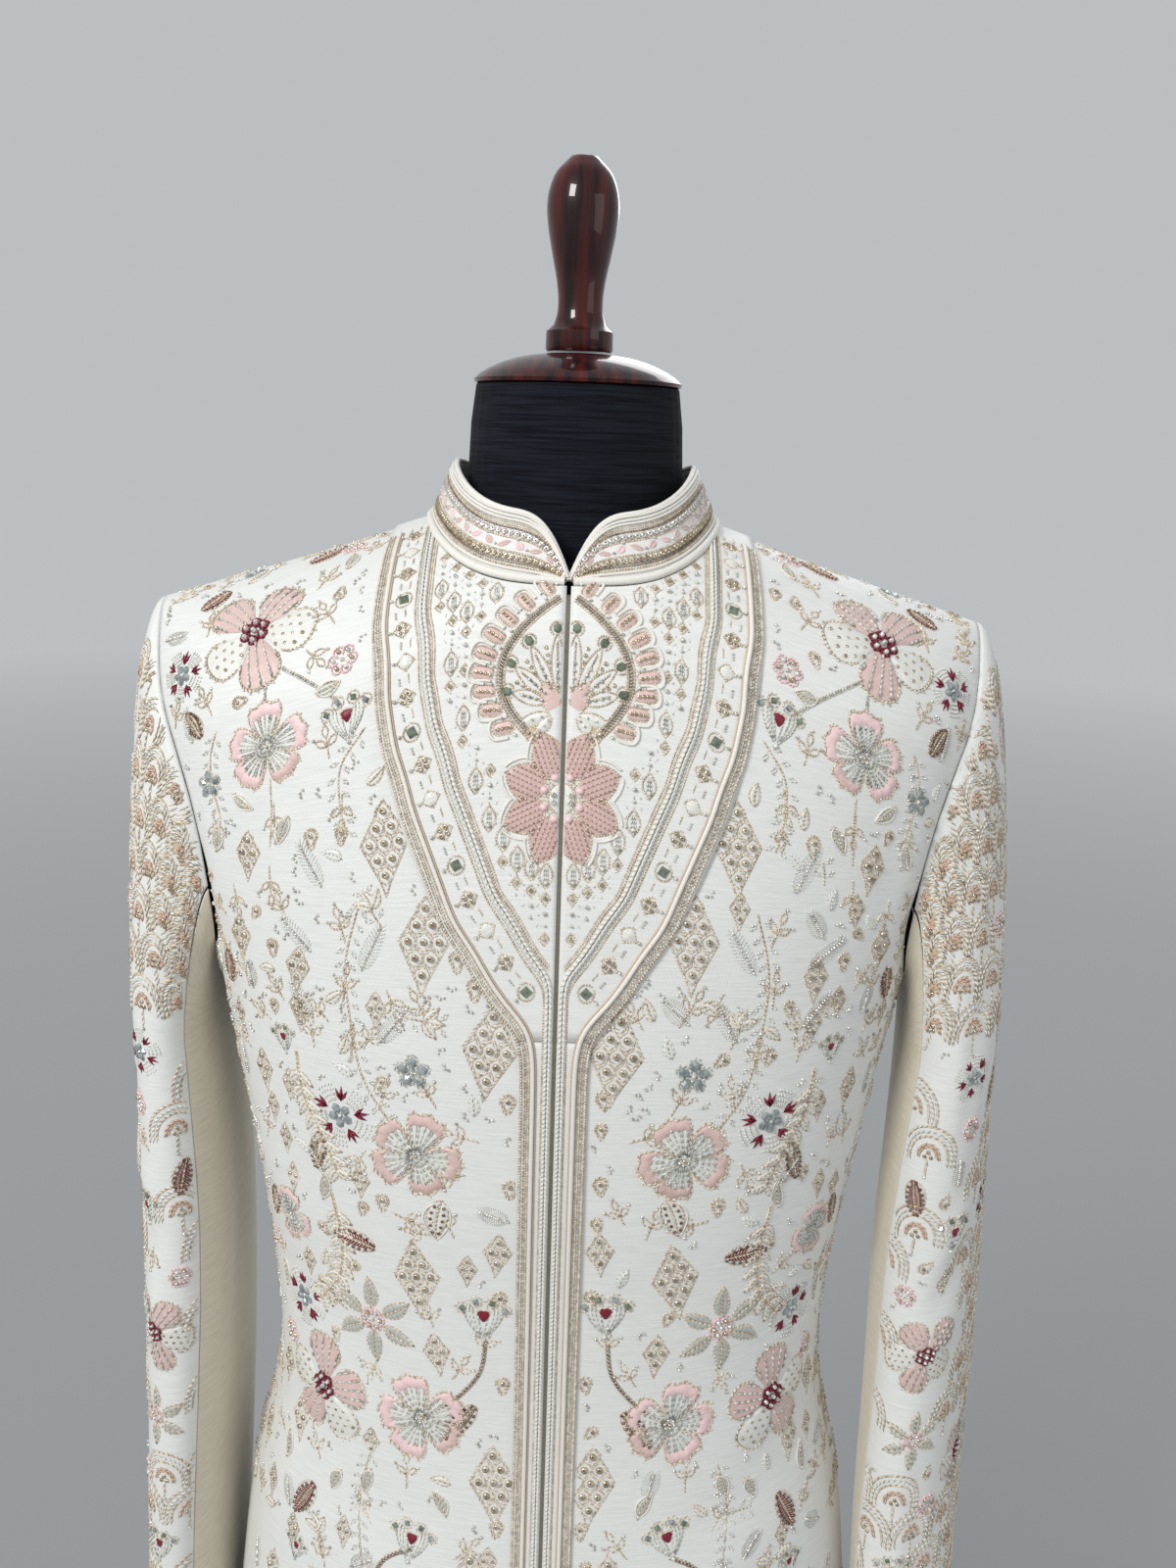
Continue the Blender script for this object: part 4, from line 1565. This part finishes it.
def medallion(side):
    """A whole pattern that the closure cuts through: rays round a bud, over a flower."""
    w = Work(f"yoke_{LABEL[side]}_medallion", fronts[side], ON_TRIM, lambda a, u: a > 0.0022)
    w.least = 0.0016
    centre = 0.995
    half, top, bottom = 33.5, 36.5, -36.5
    a = np.linspace(0, 1, 41)
    rim = xy(half * np.sin(a * math.pi) ** .82 * (1 - .12 * (1 - a)),
                    (1 - a) * (top - bottom) + bottom)
    out = unit(np.gradient(rim, axis=0))
    out = xy(-out[:, 1], out[:, 0])
    seen = rim[:, 0] > 2.2
    line, out = rim[seen], out[seen]
    w.pen(0, centre)
    w.braid(line, 2.4, "brown", 1.45, .6)
    w.rope(line + out * 1.9, 1.1, "zari", 1.1)
    w.rope(line - out * 1.8, 1.1, "zari", 1.1)
    w.cord(smooth_line(line - out * 3.9, 40), .9, "cord")
    # the rays round the rim
    t = np.linspace(0, 1, 11)
    wide = 2.35 * np.sqrt(np.clip(1 - (2 * t - 1) ** 4, .05, 1))
    for k in range(9):
        share = .045 + .76 * k / 8
        fan = 62 - 86 * share
        foot = [np.interp(share * 40, np.arange(41), rim[:, c]) / 1000 for c in range(2)]
        w.pen(foot[0], foot[1] + centre, fan)
        line = 3.4 + (15.2 - 1.6 * abs(k - 4) / 4 - 3.4) * t
        w.satin(xy(line, -wide), xy(line, wide), "rose_pink", .8)
        w.rope(there_and_back(line, wide + .5), .8, "zari", 1.0)
        w.cord(smooth_line(there_and_back(line[2:] + 1.2, wide[2:] + 2.3), 18), .8, "cord")
        w.dots(xy(line[2:-1:2], 0 * line[2:-1:2]), 2.1, "gold_sequin", SEQUIN, .5, .8)
        w.pen(foot[0], foot[1] + centre, fan - 18)
        w.dots([(4.2, -2.6)], 1.9, "crystal", BEAD, .8)
    # the bud inside: ribs that fan out from its foot, each with a stone
    for angle, length in ((88, 31), (62, 29), (38, 27), (14, 23)):
        w.pen(0.0035, 0.981, angle)
        for s in (1, -1):
            w.rope(xy(4 + (length - 4) * t, s * 3.1 * np.sin(t * math.pi) ** .8), .9,
                      "zari", 1.0)
        w.rope(xy(4 + (length - 8) * t, 0 * t), .9, "gold_bead", 1.2)
        w.dots([(8 + 3.2 * k, 0) for k in range(4)], 1.9, "crystal", BEAD, .7, .3)
        w.stamp(STONE, [(length + 2.3, 0)], 0, 5.6, 4.6, 1.8, "sage")
        w.rope(arc(3.4, -150, 150, 16, (length + 2.3, 0)), 1.0, "zari", 1.0)
    # the bud's own petal, and a peach one on the rim's foot
    w.pen(0.0030, 0.979, 55)
    w.satin([(2, -4), (6, -5), (10, -3.0), (14, 0)], [(1, 1), (5, 4), (9, 3.5), (14, .5)],
               "rose_pink", .8)
    w.rope([(2, -4.4), (6, -5.4), (10, -3.5), (14.5, 0), (9, 4.2), (5, 4.6), (1, 1.5)], .9,
              "zari", 1.0)
    w.pen(0.0145, 0.9685, 20)
    w.satin([(-5, 0), (-2, -2.4), (2, -2.4), (5, 0)], [(-5, .2), (-2, 2.6), (2, 2.6), (5, .2)],
               "peach", .8)
    w.rope([(-5.5, 0), (-2, -3), (2, -3), (5.5, 0), (2, 3), (-2, 3), (-5.5, 0)], .9, "zari", 1.0)
    w.dots([(-2, 0), (0.5, 0), (3, 0)], 1.9, "crystal", BEAD, .8, .7)
    # sequins between the ribs, and two leaves with a row of beads under them
    for angle, reach in ((75, 22), (50, 21), (26, 19)):
        w.pen(0.0035, 0.981, angle)
        w.dots([(reach - 3.2, 0), (reach, 0), (reach + 3.2, 0)], 2.2, "gold_sequin", SEQUIN,
                  .45, .1)
    for angle, length in ((-14, 15), (-44, 10)):
        w.pen(0.0045, 0.9775, angle)
        t = np.linspace(0, 1, 9)
        wide = 2.3 * np.sin(t * math.pi) ** .8 + .05
        line = 2.5 + length * t
        w.satin(xy(line, -wide), xy(line, wide), "white_satin", .8)
        w.rope(there_and_back(line, wide + .4), .8, "zari", 1.0)
        w.dots([(length * share, 0) for share in (.45, .75, 1.05)], 1.8, "crystal", BEAD, .7, .6)
    woven_flower(w, FLOWER_UP)
    w.build()


def woven_flower(w, up):
    """The half of an eight-petalled flower that is on one front."""
    t = np.linspace(0, 1, 17)
    wide = 7.9 * np.clip(1 - np.abs(2 * t ** .85 - 1) ** 1.9, 0, 1) ** .8 + .15
    line = 9 + 20.5 * t
    outline = there_and_back(line, wide)
    grid = staggered(np.arange(8, 31, 2.3), np.arange(-9.2, 10, 2.3), 1.15)
    spots = grid[inside(outline * [[.98, .90]], grid)]
    for k in range(4):
        w.pen(0.0, up, 90 - 22.5 - k * 45)
        w.satin(xy(line, -wide), xy(line, wide), "rose", .7)
        w.stamp(STITCH, spots, 0, 2.3, 1.8, 1.0, "rose_pink", .5)
        w.stamp(STITCH, spots + [[1.15, 0]], 0, 1.25, 1.1, .8, "dark_rose", .75)
        w.rope(outline, 1.0, "zari", 1.05)
        for s in (1, -1):
            tip = xy(line + 1.6, s * (wide + 1.9))[9:]
            w.cord(smooth_line(tip, 12), .65, "cord")
        w.dots([(9.5, 0)], 4.4, "pink", BEAD, .5)
        w.rope(arc(3.0, 0, 350, 16, (9.5, 0)), .8, "zari", 1.0)
    w.pen(0, up)
    w.satin(arc(1.0, -80, 80, 9), arc(6.2, -80, 80, 9), "white_satin", .6)
    w.dots(arc(4.4, -62, 62, 4), 2.9, "crystal", SEQUIN, .6, .6)
    w.rope(arc(6.6, -80, 80, 20), 1.0, "zari", 1.0)


def hanging_rows(side, border):
    """Hanging rows of stones over the rest of the bib."""
    cloth = fronts[side]
    w = Work(f"yoke_{LABEL[side]}_stones", cloth, ON_TRIM, lambda a, u: a > 0.0022)
    limit = moved_in(border, .0065)

    def free(across, up, room):
        """Inside the border, and clear of the collar, the medallion and the flower."""
        far = np.interp(up, limit[:, 1], limit[:, 0]) - .0026
        if across > far or across < .0042 or up > 1.130:
            return False
        if math.hypot(across, up - FLOWER_UP) < .0312 + room * .2:
            return False
        if math.hypot(across / .0488, (up - 0.994) / .0545) < 1.0 + room * 4:
            return False
        x, _, z = cloth.at(np.array([across]), np.array([up]))[0][0]
        share = min(abs(x) / NECK_HALF_WIDTH, 1) ** NECKLINE_POWER
        line = NECK_PIT_Z + (float(shoulder_z(NECK_HALF_WIDTH)) - NECK_PIT_Z) * share
        return z < line - room - .0005 or abs(x) > NECK_HALF_WIDTH + .004
    for k in range(13):
        across = 0.0066 + 0.0071 * k
        chain_column(w, across, 1.1290 - .0085 * (k % 3), 0.858, free)
        # the thread that each row hangs on, and a row of small stitches between the rows
        for step in range(62):
            up = 1.1290 - .0044 * step
            if free(across, up, .0012):
                w.pen(across, up)
                w.stamp(STITCH, [(0, 0)], math.pi / 2, 2.0, .8, .5, "zari", .1)
            beside = across + .0032 + .0004 * (step % 2)
            if free(beside, up, .0016):
                w.pen(beside, up)
                if step % 3:
                    lean = .5 if step % 2 else -.5
                    w.stamp(STITCH, [(0, 0)], math.pi / 2 + lean, 2.4, .9, .6, "white_satin")
                else:
                    w.stamp(STITCH, [(0, 0)], 0, 1.3, 1.3, .8, "silver")
    w.build()


def yoke_work(side):
    """The bib and the centre band."""
    whole, edge = edge_of_front(fronts[side])
    spread = 0.0305 - 0.0050 * np.linspace(0, 1, len(edge))
    border = rounded(trimmed(moved_in(edge, spread), 200), 4)
    edge_cords(side, whole, border)
    border_stones(side, edge, spread)
    medallion(side)
    hanging_rows(side, border)


def collar_work(side):
    """Rows of cord, sequins and small pink leaves round the collar, and the cord on its top."""
    cloth = collars[side]
    w = Work(f"collar_{LABEL[side]}_needlework", cloth, ON_COAT, lambda a, u: a > 0.0016)
    share = np.linspace(0.0, 1.0, 230)

    def line(up):
        last = np.interp(up / 1000, cloth.up, cloth.ends) * 1000 - 0.3
        return xy(2.2 + (last - 2.2) * share, np.full_like(share, up))
    for up in (29.6, 27.9, 26.4):
        w.cord(line(up), .80, "cord", sides=5)
    w.braid(line(24.6), 2.0, "zari", 1.4)
    w.rope(line(22.9), 1.0, "brown", 1.1)
    w.dots(evenly(line(20.7), 3.3)[0], 3.2, "pearl_sequin", SEQUIN, .45, .1)
    w.rope(line(18.8), 1.0, "zari", 1.1)
    t = np.linspace(0, 1, 7)
    rib = xy(t * 6 - 3, 0 * t)
    breadth = xy(0 * t, 1.5 * np.sin(t * math.pi) ** .7 + .1)
    for k, (a, u) in enumerate(evenly(line(15.6), 8.2)[0]):
        w.pen(a / 1000, u / 1000, 28 if k % 2 else -28)
        for s in (1, -1):
            w.satin(rib, rib + s * breadth, "rose_pink" if k % 3 else "pink", .6)
        w.dots([(4.0, 1.0)], 1.7, "silver", BEAD, .8)
    w.pen(0, 0)
    w.rope(line(12.4), 1.0, "zari", 1.1)
    w.dots(evenly(line(10.4), 3.1)[0], 2.9, "gold_sequin", SEQUIN, .45, .1)
    w.braid(line(8.2), 2.1, "brown", 1.4)
    w.rope(line(6.3), 1.1, "zari", 1.1)
    w.cord(line(4.6), .8, "cord", sides=5)
    w.cord(line(0.6), 2.3, "cord", .45, 8)
    w.build()
    top = Work(f"collar_{LABEL[side]}_piping", cloth, 0.0)
    edge = xy(np.linspace(1.2, cloth.ends[-1] * 1000, 170), np.full(170, 31.2))
    top.cord(edge, 1.5, "cord", .86, 8)
    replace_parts(top.build("white_braid"), "collar_piping")


def scallop(w, across, up, size=1.0):
    """Arches of cord over a hanging paisley."""
    w.pen(across, up, 180, size)
    for radius, thread, width in ((15, "zari", 1.2), (12.6, "white_satin", 1.3),
                                  (10.4, "zari", 1.1)):
        w.rope(arc(radius, -12, 192, 40) * [[1, 1.25]], width, thread, 1.15)
    for radius in (7.4, 6.0):
        w.rope(arc(radius, 5, 175, 24) * [[.8, 1.15]], 1.3, "peach", 1.1)
    w.dots([(0, 4.2), (-1.6, 1.6), (1.6, 1.6)], 2.2, "gold_bead", SEQUIN, .6)
    w.rope(np.array([(0, 0), (0, -9)]), 1.0, "zari", 1.1)
    w.dots([(0, -10.5)], 2.0, "crystal")


SLEEVE_FLOWERS = (
    ("rayed_pink", 20, 50, 180, .8), ("small_pink", 50, 150, 0, 1), ("star", 70, 235, 0, .9),
    ("small_pink", 64, 268, 0, 1), ("tulip", 66, 335, 180, 1), ("small_pink", 88, 375, 0, .9),
    ("striped", 72, 412, 200, .9), ("silver_star", 70, 470, 0, .9), ("small_pink", 50, 520, 0, 1),
    ("tulip", 70, 562, 180, .95), ("rayed_pink", 66, 618, 180, .8), ("star", 22, 330, 0, .8),
    ("striped", 18, 500, 200, .8), ("crimson_leaf", 95, 300, 100, 22),
    ("brown_leaf", 36, 240, 80, 22))


def sleeve_work(side):
    """Arches in staggered rows all down the sleeve, with flowers between them in front."""
    for part, turn in (("front", 1), ("back", -1)):
        cloth = sleeves[side, turn]

        def keep(a, u, cloth=cloth):
            return ((a < np.interp(u, cloth.seam_up, cloth.seam) - .003) & (a > -.0005)
                    & (u > np.interp(a, cloth.across, cloth.top) + .004) & (u < .664))
        w = Work(f"sleeve_{LABEL[side]}_{part}_needlework", cloth, ON_COAT, keep)
        w.coarse = 2.0 if part == "front" else 5.0
        flowers = SLEEVE_FLOWERS if part == "front" else ()
        rooms = []
        for kind, across, up, angle, size in flowers:
            across, up = across / 1000, up / 1000
            DRAW[kind](w, across, up, angle, size)
            w.taken.append((across, up, room_of(kind, size)))
            rooms.append((across, up, ROOM[kind] * (size if size < 3 else 1)))
        for k in range(25):
            up = 0.030 + k * 0.0255
            for j in range(6):
                across = (j + (0.5 if k % 2 else 0)) * 0.030
                if across > float(np.interp(up, cloth.seam_up, cloth.seam)) + .010:
                    continue
                if any(math.hypot(across - a, up - .006 - u) < r + .009 for a, u, r in rooms):
                    continue
                scallop(w, across, up, 1.08)
                w.taken.append((across, up - .008, .0135))
        if part == "front":
            fill_in(w, .02, .66, .16, 91 + side, 2600, near=.004)
        w.build()


def back_work(side):
    """A sparser pattern on the back: the larger motifs of the lower group, three times over."""
    cloth = backs[side]
    on_panel = panel_keep(cloth, "back")
    w = Work(f"back_{LABEL[side]}_needlework", cloth, ON_COAT,
                lambda a, u: on_panel(a, u) & (a > .004))
    w.coarse = 4.0
    plain = [row for row in LOWER_GROUP if row[0] in (
        "lattice", "rayed_rose", "rayed_pink", "striped", "tulip", "silver_star", "crimson_leaf",
        "star")]
    for k, shift in enumerate((-.42, -.10, .22)):
        draw_group(w, plain, shift, 0.008, seed=51 + k)
    w.build()


# ---------------------------------------------------------------- build the coat
fronts = {side: body_cloth("front", side) for side in (1, -1)}
backs = {side: body_cloth("back", side) for side in (1, -1)}
collars = {side: collar_cloth(side) for side in (1, -1)}
sleeves = {(side, turn): sleeve_cloth(side, turn) for side in (1, -1) for turn in (1, -1)}

for side in (1, -1):
    panel("front", side)
    panel("back", side)
    trim_shells(side)
    for part in ("upper", "under"):
        sleeve_shell(side, part)
collar_shell()
strip_shell()

for side in (1, -1):
    front_work(side)
    yoke_work(side)
    collar_work(side)
    sleeve_work(side)
    back_work(side)


# ---------------------------------------------------------------- the form and its stand
def grained_finish(look, low, high, first, last, **pattern):
    """A look with a pattern that stays fixed to its piece."""
    grain = look.noise(look.place(), **pattern)
    look.shade(grain, low, high, first, last)
    return grain


ribbed = Look("ribbed_jersey", (0.008, 0.009, 0.014), 0.85, Sheen_Weight=0.04, Sheen_Roughness=0.5,
              Specular_IOR_Level=0.08)
ribbed.bump(grained_finish(ribbed, (0.004, 0.005, 0.008), (0.012, 0.014, 0.021), .35, .65,
                           detail=2, stretch=(30, 30, 900)), 0.6, 0.0006)
wood = Look("lacquered_mahogany", (0.03, 0.003, 0.003), 0.35, Coat_Weight=0.8, Coat_Roughness=0.03,
            Coat_IOR=1.45, Specular_IOR_Level=0.1)
grained_finish(wood, (0.008, 0.001, 0.0015), (0.11, 0.009, 0.006), .38, .78, detail=4,
               stretch=(220, 60, 9))
paint = Look("black_paint", (0.02, 0.02, 0.02), 0.35)
grained_finish(paint, (0.012, 0.012, 0.012), (0.035, 0.034, 0.033), .4, .7, scale=90, detail=3)


def dress(node, material):
    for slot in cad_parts[node].material_slots:
        slot.material = material


def turned_piece(name, node, profile, sides):
    """A turned wooden piece, drawn up ring by ring from its foot."""
    bpy.ops.object.select_all(action="DESELECT")
    first_radius, first_z = profile[0]
    bpy.ops.mesh.primitive_circle_add(vertices=sides, radius=first_radius, fill_type="NGON",
                                      location=(0, 0, 0))
    obj = bpy.context.object
    obj.name = name
    bpy.ops.object.mode_set(mode="EDIT")
    bpy.ops.mesh.select_all(action="SELECT")
    bpy.ops.transform.translate(value=(0, 0, first_z))
    radius, z = first_radius, first_z
    for next_radius, next_z in profile[1:]:
        bpy.ops.mesh.extrude_region_move(TRANSFORM_OT_translate={"value": (0, 0, next_z - z)})
        share = next_radius / radius
        bpy.ops.transform.resize(value=(share, share, 1), center_override=(0, 0, next_z))
        radius, z = next_radius, next_z
    bpy.ops.mesh.select_all(action="SELECT")
    bpy.ops.mesh.normals_make_consistent(inside=False)
    bpy.ops.object.mode_set(mode="OBJECT")
    bpy.ops.object.shade_smooth_by_angle(angle=math.radians(38))
    obj.data.materials.append(wood.material)
    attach(obj, "root")
    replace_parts(obj, node)


def eased(profile, count):
    """More rings on a profile, on a smooth line through its points."""
    return [tuple(p) for p in smooth_line(np.array(profile), count)]


# Profiles: (radius, height)
CAP = ((.0535, 1.5393), (.0553, 1.5400), (.0558, 1.5418), (.0535, 1.5440), (.0460, 1.5485),
       (.0340, 1.5530), (.0190, 1.5556), (.0060, 1.5562))
HANDLE_FOOT = ((.0172, 1.5568), (.0180, 1.5580), (.0178, 1.5672), (.0165, 1.5682))
HANDLE = ((.0140, 1.5705), (.0124, 1.5755), (.0119, 1.5830), (.0127, 1.5910), (.0155, 1.6050),
          (.0182, 1.6200), (.0189, 1.6295), (.0176, 1.6380), (.0140, 1.6460), (.0095, 1.6505),
          (.0070, 1.6530), (.0020, 1.6535))
BASE = ((.1800, .0), (.1835, .0015), (.1850, .0050), (.1850, .0130), (.1838, .0155),
        (.1760, .0230), (.1700, .0252), (.1500, .0290), (.0800, .0325), (.0420, .0355),
        (.0340, .0400), (.0320, .0440), (.0300, .0450), (.0020, .0450))
dress("form_torso", ribbed.material)
dress("stand_pole", paint.material)
turned_piece("base_turned", "stand_base", BASE, 96)
turned_piece("cap_disc", "neck_cap", CAP[:3] + tuple(eased(CAP[2:], 14))[1:], 96)
turned_piece("cap_handle_turned", "cap_handle", HANDLE_FOOT + tuple(eased(HANDLE, 36)), 64)

# ---------------------------------------------------------------- stage
bpy.ops.mesh.primitive_circle_add(vertices=64, radius=30, fill_type="NGON",
                                  location=(0, 0, -0.0005))
floor = bpy.context.object
floor.name = "floor"
pale = Look("pale_floor", (0.22, 0.225, 0.23), 0.9, Emission_Strength=0.80, Specular_IOR_Level=0.0)
# lighter away from the middle
far = pale.nodes.new("ShaderNodeVectorMath")
far.operation = "LENGTH"
pale.links.new(pale.place(), far.inputs[0])
pale.shade(pale.sum_of("MULTIPLY", far.outputs["Value"], 1 / 12), (0.13, 0.137, 0.138),
           (0.485, 0.505, 0.52), 0.03, 0.75, "Emission Color")
floor.data.materials.append(pale.material)


def area_light(name, place, target, size, power, colour):
    light = bpy.data.lights.new(name, "AREA")
    light.energy, light.size, light.color = power, size, colour
    obj = bpy.data.objects.new(name, light)
    obj.location = place
    obj.rotation_euler = (Vector(target) - Vector(place)).to_track_quat("-Z", "Y").to_euler()
    bpy.context.scene.collection.objects.link(obj)


area_light("key", (-1.5, -2.0, 2.9), (0, 0, 1.25), 0.9, 60, (1.0, 0.99, 0.97))
area_light("fill", (2.2, -1.6, 1.9), (0, 0, 1.2), 1.6, 8, (1.0, 0.97, 0.93))
area_light("back", (0.6, 2.4, 2.6), (0, 0, 1.2), 1.4, 16, (0.97, 0.98, 1.0))
world = bpy.data.worlds.new("studio")
world.use_nodes = True
world.node_tree.nodes["Background"].inputs["Color"].default_value = (0.50, 0.52, 0.535, 1)
world.node_tree.nodes["Background"].inputs["Strength"].default_value = 1.0
bpy.context.scene.world = world
bpy.context.scene.view_settings.view_transform = "Standard"

# the camera looks down a little, and leans a little to one side
camera = bpy.data.cameras.new("camera")
camera.lens, camera.sensor_width = 30.33, 36.0
view = bpy.data.objects.new("camera", camera)
roll, pitch = math.radians(1.9), math.radians(14.5)
view.location = (0.0124, -0.74, 1.5108)
right = Vector((1, 0, 0))
above = Vector((0, math.sin(pitch), math.cos(pitch)))
ahead = Vector((0, math.cos(pitch), -math.sin(pitch)))
across_view = right * math.cos(roll) + above * math.sin(roll)
up_view = -right * math.sin(roll) + above * math.cos(roll)
turned = [[across_view[i], up_view[i], -ahead[i]] for i in range(3)]
view.rotation_euler = Matrix(turned).to_euler()
bpy.context.scene.collection.objects.link(view)
bpy.context.scene.camera = view
